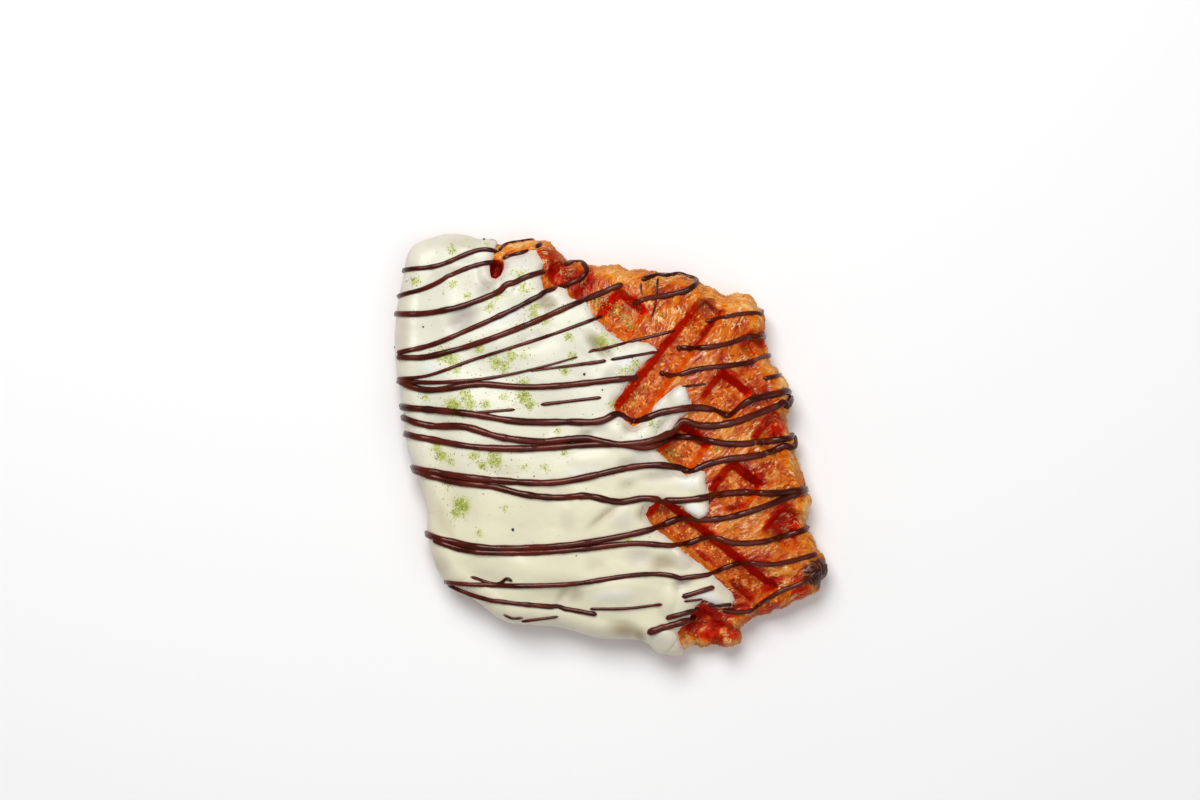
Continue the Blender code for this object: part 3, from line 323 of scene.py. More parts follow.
# Lumps and hollows of the coat: place, half length, half width, turn, rise, brown shade, lilac shade;
# the brown is painted shade with some crust showing through thin icing, the lilac is painted shade
# where above nought and a painted white highlight where below
COAT_FORMS = (
    (-39.4, 32.6, 6.4, 4.6, 35, -1.3, 0.20, 1.00), (-36.0, 36.6, 5.0, 3.0, 20, 0.5, 0.0, 0.35),
    (-50.0, 33.0, 9.0, 6.0, 10, 0.5, 0.0, 0.0), (-16.7, 37.0, 4.0, 3.2, 10, -1.1, 0.85, 0.15),
    (-3.0, 25.6, 6.6, 3.0, -45, -1.2, 1.00, 0.0), (-8.0, 20.0, 6.0, 3.6, -40, 0.6, 0.0, 0.0),
    (-23.6, 48.2, 5.0, 4.0, 0, 0.5, 0.0, 0.70), (-32.8, 41.6, 4.6, 3.0, 50, -0.7, 0.20, 0.75),
    (-26.6, 42.0, 4.0, 2.2, 65, 0.7, 0.0, 0.0), (-43.0, 46.0, 9.0, 3.0, 18, -0.7, 0.05, 0.30),
    (-30.0, 27.0, 10.0, 4.0, 22, 0.6, 0.0, 0.0), (-21.0, 27.0, 7.0, 3.4, 20, -0.6, 0.05, 0.35),
    (4.6, -6.0, 4.2, 3.0, 0, -0.4, 0.45, 0.30), (8.6, -4.6, 5.0, 4.0, 0, -0.4, 0.0, 0.70),
    (-4.0, -5.0, 8.0, 3.4, 5, 0.6, 0.0, 0.0), (5.4, 3.8, 3.4, 2.6, 0, -0.5, 0.60, 0.20),
    (2.4, 3.2, 3.4, 2.4, 25, 0.2, 0.0, 0.0), (-3.0, 3.6, 5.0, 2.8, 20, -0.4, 0.15, 0.45),
    (-6.4, 2.2, 3.2, 2.0, 0, -0.3, 0.55, 0.10), (9.6, 2.2, 3.4, 1.8, 25, 0.5, 0.0, 0.0),
    (14.2, 4.8, 4.8, 2.4, 40, -0.9, 0.30, 0.60), (18.4, 11.6, 4.4, 3.0, 55, 0.7, 0.0, 0.35),
    (4.3, 11.8, 5.2, 2.6, 52, -0.3, 0.10, 0.70), (0.4, 18.0, 5.2, 2.4, 52, -0.3, 0.10, 0.50),
    (23.6, -11.6, 4.0, 2.4, 75, 0.7, 0.0, 0.15), (14.0, -9.0, 9.0, 3.0, 4, -0.6, 0.20, 0.50),
    (6.0, -13.0, 9.0, 3.0, 2, 0.2, 0.0, 0.0), (4.6, -11.2, 4.0, 2.2, 10, -0.1, 0.35, 0.0),
    (-1.4, -19.6, 8.0, 2.4, 38, -0.5, 0.50, 0.0), (-3.4, -17.2, 8.0, 3.0, 38, 0.4, 0.0, 0.0),
    (3.8, -20.6, 5.4, 4.0, 20, 0.3, 0.0, 0.60), (9.0, -18.6, 3.8, 3.0, 60, -0.7, 0.70, 0.20),
    (-10.0, -17.0, 9.0, 5.0, 30, 0.6, 0.0, 0.0), (-11.0, -20.5, 3.6, 6.0, 0, 0.0, 0.05, 0.30),
    (14.2, -32.3, 5.0, 3.8, 15, -0.8, 0.70, 0.10), (8.0, -30.6, 6.6, 3.6, 0, -0.5, 0.05, 0.65),
    (19.0, -31.0, 3.8, 3.4, 0, 0.8, 0.0, 0.60), (19.2, -37.6, 4.0, 2.8, 20, -1.0, 0.30, 0.85),
    (15.4, -42.0, 5.2, 2.8, 80, 0.8, 0.0, 0.0), (-9.0, -40.6, 4.0, 3.2, 70, -0.3, 0.35, 0.0),
    (-12.6, -40.4, 5.0, 1.8, 57, -0.3, 0.35, 0.0), (-6.6, -43.2, 5.0, 3.4, 0, 0.2, 0.0, 0.0),
    (-3.6, -32.6, 4.6, 3.4, 0, -0.1, 0.25, 0.0), (4.2, -50.2, 7.0, 3.6, -8, -0.6, 0.85, 0.0),
    (14.2, -52.4, 4.8, 3.6, 0, 1.0, 0.0, 0.80), (8.4, -52.4, 2.2, 3.2, 20, -1.0, 0.60, 0.20),
    (-28.0, -33.0, 10.0, 4.0, 0, 0.5, 0.0, 0.0), (-45.0, -33.0, 5.0, 4.0, -30, -0.4, 0.25, 0.35),
    (2.0, -38.5, 9.0, 3.4, 4, 0.5, 0.0, 0.0), (-44.0, -22.0, 3.0, 8.0, 20, -0.3, 0.40, 0.0),
    (-26.0, -5.5, 10.0, 3.4, 0, 0.5, 0.0, 0.0), (-55.0, 30.0, 3.0, 14.0, 0, 0.0, 0.30, 0.0),
    (-40.0, 53.0, 9.0, 3.0, 0, 0.0, 0.35, 0.0), (21.0, -10.6, 5.0, 2.6, 5, 0.3, 0.0, -1.0),
    (22.6, -17.6, 4.4, 2.4, -15, 0.3, 0.0, -1.0), (26.0, -41.2, 6.0, 2.6, -20, 0.3, 0.0, -0.9),
    (18.8, 12.4, 3.0, 3.4, 0, 0.2, 0.0, -0.8), (3.8, 21.0, 6.0, 3.4, 20, 0.3, 0.0, -0.8),
    (9.0, 0.4, 7.0, 2.2, 5, 0.2, 0.0, -0.9), (-6.0, -8.0, 9.0, 2.4, 0, 0.2, 0.0, -0.7),
    (-28.0, 33.0, 8.0, 3.0, 25, 0.2, 0.0, -0.8), (-47.0, 20.0, 5.0, 3.0, 0, 0.2, 0.0, -0.8),
    (1.0, -40.6, 9.0, 2.4, 5, 0.2, 0.0, -0.7),
)

# Washes of colour on the crust: place, half length, half width, turn, strength
RED_WASH = (
    (-30.4, 45.3, 3.4, 4.4, 0, 1.3), (-7.0, 42.0, 7.5, 4.0, 60, 1.1), (-13.0, 44.5, 6.0, 5.0, 0, 1.0),
    (47.2, -22.6, 7.0, 6.4, 30, 1.0), (26.2, -49.4, 9.0, 6.2, -10, 1.0), (44.4, 4.2, 4.4, 6.4, 20, 1.0),
    (41.0, 27.4, 3.0, 4.6, 0, 0.8), (38.6, -9.4, 5.6, 4.0, 0, 0.8), (33.5, -17.2, 6.0, 1.8, 15, 0.7),
    (50.5, -36.6, 4.4, 1.4, 20, 0.8), (34.5, -45.0, 7.5, 3.2, 25, 0.7), (50.5, -40.8, 3.0, 1.8, 0, 0.6),
    (46.0, -31.0, 4.8, 1.6, 35, 0.5), (30.5, -41.0, 5.5, 2.2, -45, 0.8), (20.6, 3.6, 4.4, 2.2, -35, 0.9),
    (30.0, 15.8, 5.5, 1.6, 30, 0.4), (35.4, -39.7, 6.5, 2.0, -38, 0.9), (25.4, -30.8, 5.5, 1.4, -38, 0.8),
    (51.5, -40.5, 4.5, 2.6, 10, 1.0), (43.6, -38.0, 6.0, 2.6, 32, 0.8), (27.0, -20.6, 7.0, 1.8, -40, 0.5),
    (29.0, -9.6, 3.0, 1.4, 20, 0.6), (36.0, -13.0, 5.0, 1.6, 5, 0.6), (25.6, 29.6, 10.5, 1.5, 53, 0.9),
    (43.0, -44.6, 7.0, 2.0, 27, 0.7), (33.4, -51.6, 3.0, 2.6, 0, 0.8),
)
PALE_WASH = (
    (2.0, 44.8, 8.0, 3.2, 5, 0.50), (33.0, 40.4, 7.0, 2.4, -25, 0.40), (37.5, 36.6, 5.0, 3.2, -20, 0.60),
    (38.0, 31.0, 4.4, 3.2, 30, 0.25), (25.0, 20.5, 8.0, 2.2, 10, 0.35), (46.5, 15.5, 3.8, 3.2, 0, 0.60),
    (44.0, 20.0, 5.5, 3.0, 35, 0.30), (33.5, 8.0, 9.0, 2.2, 12, 0.40), (27.0, -2.8, 6.0, 3.0, 20, 0.35),
    (43.6, -8.8, 3.6, 1.7, 30, 0.60), (50.0, -7.0, 4.5, 4.5, 0, 0.20), (53.4, -17.8, 5.5, 2.6, 85, 0.80),
    (33.5, -21.3, 5.4, 3.2, -20, 0.60), (20.6, -55.2, 3.6, 3.4, 10, 1.0), (44.5, -34.8, 6.5, 1.5, 15, 0.40),
    (18.4, 19.6, 4.0, 2.6, 40, 0.20), (36.0, 1.0, 5.0, 1.8, 12, 0.30), (-24.0, 52.6, 7.0, 2.0, 8, 0.25),
    (27.1, -47.1, 2.0, 0.9, 15, 1.1), (25.4, -50.2, 3.0, 1.1, 35, 1.1), (30.5, -50.9, 1.8, 1.3, 60, 1.1),
    (30.0, -54.6, 5.4, 3.0, 0, -0.45), (46.0, -46.0, 6.0, 2.4, 25, -0.35),
    (-16.0, 49.6, 6.0, 4.5, -40, -0.5), (-8.5, 44.5, 5.0, 5.0, 0, -0.4), (-23.0, 53.0, 7.0, 2.2, 8, 0.3),
)
PLUM_WASH = (
    (26.2, 36.4, 5.0, 3.8, 50, 1.0), (19.5, 36.5, 5.4, 2.6, 62, 0.1), (5.0, 35.7, 3.8, 3.2, 0, 0.6),
    (22.0, 30.2, 5.0, 2.4, 52, 0.2), (47.4, -24.0, 3.6, 2.4, 20, 0.4), (30.5, -27.6, 5.0, 1.8, -38, 0.4),
    (22.0, 44.0, 8.0, 4.0, 10, 0.5), (-6.0, 39.0, 3.0, 2.0, 50, 0.4), (34.0, -30.5, 4.0, 1.6, -38, 0.3),
    (-11.0, 45.0, 5.0, 4.0, 0, 0.5),
)

# Clusters of green crumbs on the coat and on the crust: place, strength
CRUMB_SPOTS = (
    (-42, 51, 1.0), (-52, 43, 1.0), (-42, 42, 1.0), (-32, 36, 1.0), (-23, 41, 1.0), (-24, 45, 1.0),
    (-20, 36, 1.0), (-20, 34, 1.0), (-16, 34, 1.0), (-13, 35, 1.0), (-23, 31, 1.0), (-17, 32, 1.0),
    (-44, 23, 3.0), (-42, 22, 2.4), (-45, 23, 1.0), (-41, 19, 1.6), (-35, 25, 1.6), (-26, 23, 1.6),
    (-30, 21, 2.2), (-28, 20, 1.6), (-23, 23, 1.0), (-36, 16, 1.0), (-23, 15, 2.4), (-23, 12, 2.0),
    (-49, 12, 1.0), (-41.6, 9.6, 3.6), (-38, 12, 1.6), (-37, 10, 1.6), (-33, 10, 1.0), (-39, 13, 1.0),
    (-28, 12, 1.0), (-21, 10, 1.6), (-14, 3, 0.6), (-2, 27, 2.4), (1, 26, 1.0), (-2, 39, 1.0),
    (-11, 28, 1.0), (-10, 23, 1.0), (-12, 19, 1.0), (3, 19, 1.0), (5, 19, 1.0), (7, 21, 1.0), (1, 10, 1.0),
    (11, 5, 1.0), (-46, -1.5, 1.6), (-44.6, -3.6, 1.6), (-42, -5, 1.0), (-36, -3.4, 1.4),
    (-30.5, -4.6, 2.6), (-34, -6, 1.0), (-22.6, -6.4, 0.5), (-17, -6.8, 0.7), (-12, -3, 0.7),
    (-39.6, -17, 3.6), (-41, -19, 1.4), (-28, -17.6, 0.6), (5, -26, 1.0), (-34.6, -24.4, 0.7),
    (-29, -11.6, 1.2), (-43, -10.6, 1.0), (-33, 53, 1.0), (-38, 55, 1.0), (-30, 39, 1.0), (-38, 39, 1.0),
)
CRUST_CRUMB_SPOTS = (
    (1.3, 36.4, 1.0), (2.2, 34.9, 1.4), (3.4, 33.4, 1.0), (4.7, 32.2, 1.4), (5.7, 30.8, 1.4),
    (7.2, 34.9, 0.7), (12.3, 32.0, 1.2), (15.6, 33.4, 1.0), (13.4, 34.8, 0.7), (11.2, 41.9, 1.6),
    (-3.8, 37.4, 1.6), (-12.6, 45.0, 0.6), (21.2, 29.9, 0.8), (18.6, -4.2, 1.2), (16.6, -2.6, 0.8),
    (16.0, -5.2, 1.0), (29.0, -2.0, 1.2), (7.6, 12.6, 0.6), (9.4, 14.4, 0.5), (6.2, 10.0, 0.6),
)

# Black specks: place, half size
SPECKS = (
    (-33.0, 52.9, 0.42), (-49.4, 30.8, 0.36), (-56.6, 25.6, 0.45), (-25.9, -23.0, 0.5), (-6.8, 18.1, 0.42),
    (-1.9, 13.8, 0.3), (-47.0, 42.0, 0.25), (-20.0, -9.0, 0.25), (-9.0, -30.0, 0.22),
)


def smoothstep(value, low, high):
    """Goes smoothly from nought to one between two limits."""
    share = np.clip((value - low) / (high - low), 0.0, 1.0)
    return share * share * (3.0 - 2.0 * share)


def path_run(points):
    """Distance travelled at each point of a path."""
    return np.concatenate([[0.0], np.cumsum(np.hypot(*np.diff(points, axis=0).T))])


def unit(vectors):
    """The same directions, each of length one."""
    return vectors / np.maximum(np.hypot(*vectors.T), 1e-9)[:, None]


def closest(path, place):
    """Number of the point of a path that is closest to a place."""
    return int(np.argmin(np.hypot(*(path - place).T)))


def smooth_path(points, step, closed=False):
    """A smooth curve through the points, cut into steps of about one length."""
    points = np.array(points, float)
    count = len(points)
    first, spans = 0, count - 1
    if closed:
        points = np.vstack([points[-2:], points, points[:3]])
        first, spans = 2, count
    hop = np.diff(points, axis=0)
    chord = np.hypot(hop[:, 0], hop[:, 1])[:, None]
    slope = hop / chord
    inner = (slope[:-1] * chord[1:] + slope[1:] * chord[:-1]) / (chord[:-1] + chord[1:])
    heading = np.vstack([slope[:1], inner, slope[-1:]])
    share = np.linspace(0.0, 1.0, 24, endpoint=False)[:, None]
    fine = []
    for i in range(first, first + spans):
        a, b = points[i], points[i + 1]
        p, q = heading[i] * chord[i], heading[i + 1] * chord[i]
        cubic = 2 * a - 2 * b + p + q
        square = 3 * b - 3 * a - 2 * p - q
        fine.append(((cubic * share + square) * share + p) * share + a)
    fine = np.vstack([*fine, points[first + spans]])
    run = path_run(fine)
    at = np.linspace(0.0, run[-1], max(int(round(run[-1] / step)), 1) + 1)
    if closed:
        at = at[:-1]
    return np.column_stack([np.interp(at, run, fine[:, 0]), np.interp(at, run, fine[:, 1])])


def inward_normals(loop, blend=0.0):
    """Unit normals of a clockwise loop, pointing in, blended over a length of it."""
    ahead = np.roll(loop, -1, axis=0) - np.roll(loop, 1, axis=0)
    step = np.mean(np.hypot(ahead[:, 0], ahead[:, 1])) / 2
    reach = int(round(blend / step))
    near = sum(np.roll(ahead, k, axis=0) * (reach + 1 - abs(k)) for k in range(-reach, reach + 1))
    near = unit(near)
    return np.column_stack([near[:, 1], -near[:, 0]])


def split_long(path, longest, closed=False):
    """The same path with its long spans cut up evenly."""
    ends = np.roll(path, -1, axis=0) if closed else path[1:]
    out = []
    for a, b in zip(path, ends):
        pieces = max(int(math.ceil(math.dist(a, b) / longest)), 1)
        for k in range(pieces):
            out.append(a + (b - a) * k / pieces)
    if not closed:
        out.append(path[-1])
    return np.array(out)


def inside(points, loop):
    """Which points lie inside a closed loop."""
    ax, ay = loop[:, 0][None, :], loop[:, 1][None, :]
    bx, by = np.roll(loop[:, 0], -1)[None, :], np.roll(loop[:, 1], -1)[None, :]
    slope = (bx - ax) / np.where(by == ay, 1e-9, by - ay)
    found = np.zeros(len(points), bool)
    for first in range(0, len(points), INSIDE_BATCH):
        x = points[first:first + INSIDE_BATCH, 0][:, None]
        y = points[first:first + INSIDE_BATCH, 1][:, None]
        hits = ((ay > y) != (by > y)) & (x < slope * (y - ay) + ax)
        found[first:first + INSIDE_BATCH] = np.sum(hits, axis=1) % 2 == 1
    return found


def point_tree(points):
    """A tree in which the nearest of many points is found."""
    tree = KDTree(len(points))
    for number, (x, y) in enumerate(points.tolist()):
        tree.insert((x, y, 0.0), number)
    tree.balance()
    return tree


def nearest(tree, points):
    """Number of the nearest point in a tree, for each place."""
    return np.array([tree.find((x, y, 0.0))[1] for x, y in points.tolist()], int)


class Track:
    """A path that many places can be measured against."""

    def __init__(self, path, closed=False, spacing=0.4):
        self.closed = closed
        self.path = split_long(np.asarray(path, float), spacing, closed) if spacing else path
        self.tree = point_tree(self.path)

    def near(self, points):
        """Distance to the path, the foot there, and the span it lies on with the share along it."""
        number = nearest(self.tree, points)
        count = len(self.path)
        off = np.full(len(points), 1e9)
        foot = np.zeros((len(points), 2))
        where = np.zeros(len(points), int)
        along = np.zeros(len(points))
        for step in (-1, 0):
            start = number + step
            start = start % count if self.closed else np.clip(start, 0, count - 2)
            a = self.path[start]
            span = self.path[(start + 1) % count] - a
            length = np.maximum(np.sum(span * span, axis=1), 1e-12)
            share = np.clip(np.sum((points - a) * span, axis=1) / length, 0.0, 1.0)
            here = a + share[:, None] * span
            away = np.hypot(*(points - here).T)
            better = away < off
            off[better], foot[better] = away[better], here[better]
            where[better], along[better] = start[better], share[better]
        return off, foot, where, along

    def measure(self, normals, points):
        """Distance in from a closed path, below nought outside it, the foot there, and the way in."""
        off, foot, span, share = self.near(points)
        share = share[:, None]
        way = unit(normals[span] * (1 - share) + normals[(span + 1) % len(normals)] * share)
        return np.where(np.sum((points - foot) * way, axis=1) >= 0, off, -off), foot, way


class Rim:
    """The widest line of the pastry, and the way the rounded side hangs from it."""

    def __init__(self, step):
        whole = smooth_path(OUTLINE, step, closed=True)
        run = np.concatenate([path_run(whole), [0.0]])[:len(whole)]
        total = run[-1] + math.dist(whole[-1], whole[0])
        start, stop = run[closest(whole, COAT_START)], run[closest(whole, COAT_END)]
        into = np.where(run >= stop, run - stop, run + total - stop)
        reach = start + total - stop
        self.iced = np.clip(np.minimum(into, reach - into), -1.0, None)
        self.iced[into > reach] = -1.0
        share = smoothstep(self.iced, 0.0, COAT_INSET_RUN)
        bumps = sum(size * np.sin(2 * math.pi * run / wave + phase) for wave, size, phase in RIM_BUMPS)
        inset = share * COAT_INSET + (1.0 - share) * (bumps + BARE_INSET)
        self.run = run
        self.loop = whole + inward_normals(whole) * inset[:, None]
        self.normal = inward_normals(self.loop, NORMAL_BLEND)

    def ring(self, depth):
        """The loop that lies one depth in from the widest line."""
        return self.loop + self.normal * np.reshape(depth, (-1, 1))


RIM = Rim(0.5)
RIM_TRACK = Track(RIM.loop, closed=True, spacing=None)


def rim_measure(plan):
    """Depth inside the widest line, its foot there, and the way in."""
    depth, foot, way = RIM_TRACK.measure(RIM.normal, plan)
    direct = (plan - foot) / np.maximum(np.abs(depth), 1e-9)[:, None]
    return depth, foot, np.where((depth > 0.6)[:, None], direct, way)


def unroll(plan):
    """Moves places seen from above near the rim to where the unrolled side holds them."""
    depth, foot, way = rim_measure(plan)
    turn = np.arcsin(np.clip(1.0 - np.maximum(depth, 0.0) / SIDE_BAND, 0.0, 1.0)) / (math.pi / 2)
    rolled = SIDE_BAND - (SIDE_BAND - SIDE_SPLIT) * turn
    return np.where((depth >= SIDE_BAND)[:, None], plan, foot + way * rolled[:, None])


def middle_and_half(ends):
    """Middle and half length of a stretch."""
    return (ends[0] + ends[1]) / 2, (ends[1] - ends[0]) / 2


def make_hollows():
    """Every bare hollow of the upper face: centre, half sizes and turn."""
    hollows = []
    for i, j in BARE_POCKETS:
        half = POCKET_HALF + POCKET_UNEVEN * math.sin(2.1 * i + 3.7 * j)
        hollows.append((grid_point(i * GRID_PITCH, j * GRID_PITCH), half, half, GRID_TURN))
    middle, half = middle_and_half(GROOVE_ONE)
    hollows.append((grid_point(0.0, middle), GROOVE_HALF, half, GRID_TURN))
    middle, half = middle_and_half(GROOVE_TWO)
    hollows.append((grid_point(middle, 0.0), half, GROOVE_HALF, GRID_TURN))
    hollows.append((SLIT[:2], *SLIT[2:], 0.0))
    return hollows


HOLLOWS = make_hollows()


def hollow_measure(plan, hollow):
    """Distance out from the middle of a hollow, counted so that its mouth is a rounded oblong."""
    centre, half_a, half_b, turn = hollow
    a, b = turned(plan[:, 0] - centre[0], plan[:, 1] - centre[1], turn)
    half = min(half_a, half_b)
    power = CORNER_POWER if half > 3.0 else SLIT_POWER
    a = np.maximum(np.abs(a) - (half_a - half), 0.0)
    b = np.maximum(np.abs(b) - (half_b - half), 0.0)
    return (a ** power + b ** power) ** (1.0 / power), half


def hollow_loop(hollow, shrink, step):
    """Points round a hollow, at its mouth or, shrunk, at its floor."""
    centre, half_a, half_b, turn = hollow
    half = min(half_a, half_b)
    corners = []
    for angle in [math.radians(90 * quarter + lean) for quarter in range(4) for lean in CORNER_LEANS]:
        c, s = math.cos(angle), math.sin(angle)
        reach = (half - shrink) / (abs(c) ** CORNER_POWER + abs(s) ** CORNER_POWER) ** (1 / CORNER_POWER)
        a = reach * c + math.copysign(half_a - half, c)
        b = reach * s + math.copysign(half_b - half, s)
        corners.append(placed(centre, turn, a, b))
    return split_long(np.array(corners), step, closed=True)


def soft_hollows(plan):
    """Shallow hollows of the pressed pattern under the coat."""
    a, b = turned(plan[:, 0] - GRID_CENTRE[0], plan[:, 1] - GRID_CENTRE[1], GRID_TURN)
    a, b = a / GRID_PITCH, b / GRID_PITCH
    row = np.cos(math.pi * a) ** 2
    column = np.cos(math.pi * b) ** 2
    pocket = np.where((np.abs(a) > 0.5) & (np.abs(b) > 0.5), row * column, 0.0)
    groove_a = np.where(np.abs(a) < 0.5, row, 0.0) * smoothstep(np.abs(b), 0.5, 0.8)
    groove_b = np.where(np.abs(b) < 0.5, column, 0.0) * smoothstep(np.abs(a), 0.5, 0.8)
    uneven = 0.75 + 0.35 * np.sin(0.11 * plan[:, 0] + 1.3) * np.sin(0.09 * plan[:, 1] + 0.5)
    return SOFT_DEPTH * uneven * (pocket + SOFT_GROOVE_SHARE * (groove_a + groove_b))


def make_coat_loop():
    """The whole edge of the coat, in the unrolled plan: over the top, then back round the side."""
    over = unroll(np.array(COAT_EDGE))
    rim = Rim(DRIP_STEP)
    wave = np.sin(0.33 * rim.run) + 0.7 * np.sin(0.57 * rim.run + 1.0) + 0.4 * np.sin(1.03 * rim.run)
    drip = rim.ring(DRIP_DEPTH + DRIP_WAVE * wave * (rim.iced > 0))
    first, last = closest(drip, COAT_END), closest(drip, COAT_START)
    count = len(drip)
    back = [(first + k) % count for k in range((last - first) % count + 1)]
    return np.vstack([over, drip[back]])


def noise(x, y, seed):
    """Smooth noise from nought to one on a unit lattice."""
    table = np.random.default_rng(seed).random((NOISE_CELLS, NOISE_CELLS))
    i, j = np.floor(x).astype(int), np.floor(y).astype(int)
    u, v = x - i, y - j
    u, v = u * u * (3 - 2 * u), v * v * (3 - 2 * v)
    i, j = i % NOISE_CELLS, j % NOISE_CELLS
    k, m = (i + 1) % NOISE_CELLS, (j + 1) % NOISE_CELLS
    low = table[i, j] * (1 - u) + table[k, j] * u
    high = table[i, m] * (1 - u) + table[k, m] * u
    return low * (1 - v) + high * v


def layered(x, y, seed, octaves=4):
    """Several sizes of noise added up, from nought to one."""
    total, weight = 0.0, 0.0
    for octave in range(octaves):
        share = OCTAVE_FADE ** octave
        total = total + share * noise(x * 2 ** octave + OCTAVE_SHIFT * octave, y * 2 ** octave, seed + octave)
        weight += share
    return total / weight


def frayed(loop):
    """The coat's edge made slightly uneven wherever it crosses the upper face."""
    loop = split_long(loop, 0.6, closed=True)
    x, y = loop.T
    wander = 0.9 * (layered(x / 2.6, y / 2.6, 95, 3) - 0.5) + 0.9 * (layered(x / 6.0, y / 6.0, 97, 2) - 0.5)
    on_top = smoothstep(rim_measure(loop)[0], SIDE_BAND + 0.2, SIDE_BAND + 2.5)
    return loop + inward_normals(loop) * (wander * on_top)[:, None]


COAT_LOOP = frayed(make_coat_loop())
COAT_TRACK = Track(COAT_LOOP, closed=True)
COAT_NORMAL = inward_normals(COAT_TRACK.path)


def coat_place(plan):
    """Distance in from the edge of the coat, below nought outside it."""
    return COAT_TRACK.measure(COAT_NORMAL, plan)[0]


def oval(x, y, spot):
    """Soft oval spot: one in its middle, nought at its edge."""
    cx, cy, long, wide, turn = spot[:5]
    a, b = turned(x - cx, y - cy, math.radians(turn))
    return 1.0 - smoothstep(np.hypot(a / long, b / wide), 0.1, 1.0)


def oval_sum(x, y, spots, column=5):
    """Sum of soft ovals, each as strong as its own number in one column."""
    total = np.zeros(len(x))
    for spot in spots:
        if spot[column]:
            total += spot[column] * oval(x, y, spot)
    return total


def hollow_share(plan, depth_in, ragged=0.0):
    """How deep in a hollow each place is, from nought at the top to one on the floor.

    The floors lie a little towards one side, which makes the walls opposite broader.
    """
    wander = ragged * (layered(plan[:, 0] / 2.0, plan[:, 1] / 2.0, 31) - 0.5) * 2
    deepest = np.zeros(len(plan))
    for hollow in HOLLOWS:
        out, half = hollow_measure(plan, hollow)
        low, _ = hollow_measure(plan - FLOOR_SHIFT, hollow)
        wall = min(WALL_WIDTH, half * WALL_SHARE)
        mouth = np.maximum(half + 0.25 - out + wander, 0.0)
        beyond = np.maximum(low - (half - wall) - wander, 0.0)
        deepest = np.maximum(deepest, mouth / np.maximum(mouth + beyond, 1e-6))
    return deepest * smoothstep(depth_in, HOLLOW_EDGE_START, HOLLOW_EDGE_FULL)


def crown(plan, depth_in, coat, bare):
    """Height of the upper face, with the crisp hollows if bare."""
    x, y = plan[:, 0], plan[:, 1]
    height = CROWN_HEIGHT - DOME_DROP * ((x / DOME_REACH_X) ** 2 + (y / DOME_REACH_Y) ** 2)
    height -= EDGE_FALL * (1.0 - smoothstep(depth_in, SIDE_BAND, EDGE_FALL_REACH))
    height += WAVE_HEIGHT * np.sin(0.16 * x + 0.4) * np.sin(0.13 * y + 1.1)
    height -= SOFT_DEEPENED * soft_hollows(plan) * smoothstep(coat, 0.0, 4.0)
    height += oval_sum(x, y, COAT_FORMS) * smoothstep(coat, -0.2, 1.6)
    height += TIP_LUMP[5] * oval(x, y, TIP_LUMP)
    if bare:
        share = hollow_share(plan, depth_in, RAGGED)
        height -= HOLLOW_DEPTH * (0.45 * share + 0.55 * share * share * (3.0 - 2.0 * share))
    return height


def side_turns(depth):
    """How far round the upper and the lower part of the rounded side a depth lies, in radians."""
    upper = np.clip((SIDE_BAND - depth) / (SIDE_BAND - SIDE_SPLIT), 0.0, 1.0) * math.pi / 2
    lower = np.clip((SIDE_SPLIT - depth) / SIDE_SPLIT, 0.0, 1.0) * math.pi / 2
    return upper, lower


def side_share(depth):
    """Height on the rounded side as a share of the upper face's, by depth in from the widest line."""
    upper, lower = side_turns(depth)
    return np.where(depth >= SIDE_SPLIT, 0.5 + 0.5 * np.cos(upper), 0.5 - 0.5 * np.sin(lower))


def surface(plan, bare=True):
    """Places on the pastry in space, from places in its unrolled plan."""
    depth, foot, way = rim_measure(plan)
    depth = np.maximum(depth, 0.0)
    on_top = depth >= SIDE_BAND
    at = np.where(on_top[:, None], plan, foot + way * SIDE_BAND)
    height = crown(at, np.maximum(depth, SIDE_BAND), coat_place(at), bare)
    upper, lower = side_turns(depth)
    inset = np.where(depth >= SIDE_SPLIT, SIDE_BAND * (1 - np.sin(upper)), LOWER_TUCK * (1 - np.cos(lower)))
    place = np.where(on_top[:, None], plan, foot + way * inset[:, None])
    return np.column_stack([place, height * np.where(on_top, 1.0, side_share(depth))])


def normals_of(plan, bare=False, step=0.3):
    """Outward unit normals of the surface."""
    east = surface(plan + (step, 0.0), bare) - surface(plan - (step, 0.0), bare)
    north = surface(plan + (0.0, step), bare) - surface(plan - (0.0, step), bare)
    normal = np.cross(east, north)
    return normal / np.maximum(np.linalg.norm(normal, axis=1), 1e-9)[:, None]


def coat_rise(plan):
    """Height of the coat's skin above the pastry, rounded down to its edge."""
    x, y = plan[:, 0], plan[:, 1]
    share = np.clip(coat_place(plan) / LIP_RADIUS, 0.0, 1.0)
    full = COAT_GAP + COAT_THICKNESS + 0.8 * (layered(x / 13.0, y / 9.0, 5, 2) - 0.5) - 0.12
    full += 0.22 * (layered(x / 3.6, y / 3.0, 6, 2) - 0.5)
    full += oval_sum(x, y, COAT_LOBES)
    return LIP_LOW + (full - LIP_LOW) * np.sqrt(1.0 - (1.0 - share) ** 2)


def hex_points(step, rng):
    """Evenly scattered points over the whole plan, a little disturbed."""
    points = []
    rise = step * math.sqrt(3) / 2
    for row, y in enumerate(np.arange(-SCATTER_REACH_Y, SCATTER_REACH_Y, rise)):
        for x in np.arange(-SCATTER_REACH_X + (row % 2) * step / 2, SCATTER_REACH_X, step):
            points.append((x, y))
    points = np.array(points)
    return points + rng.uniform(-SCATTER_STRAY, SCATTER_STRAY, points.shape) * step


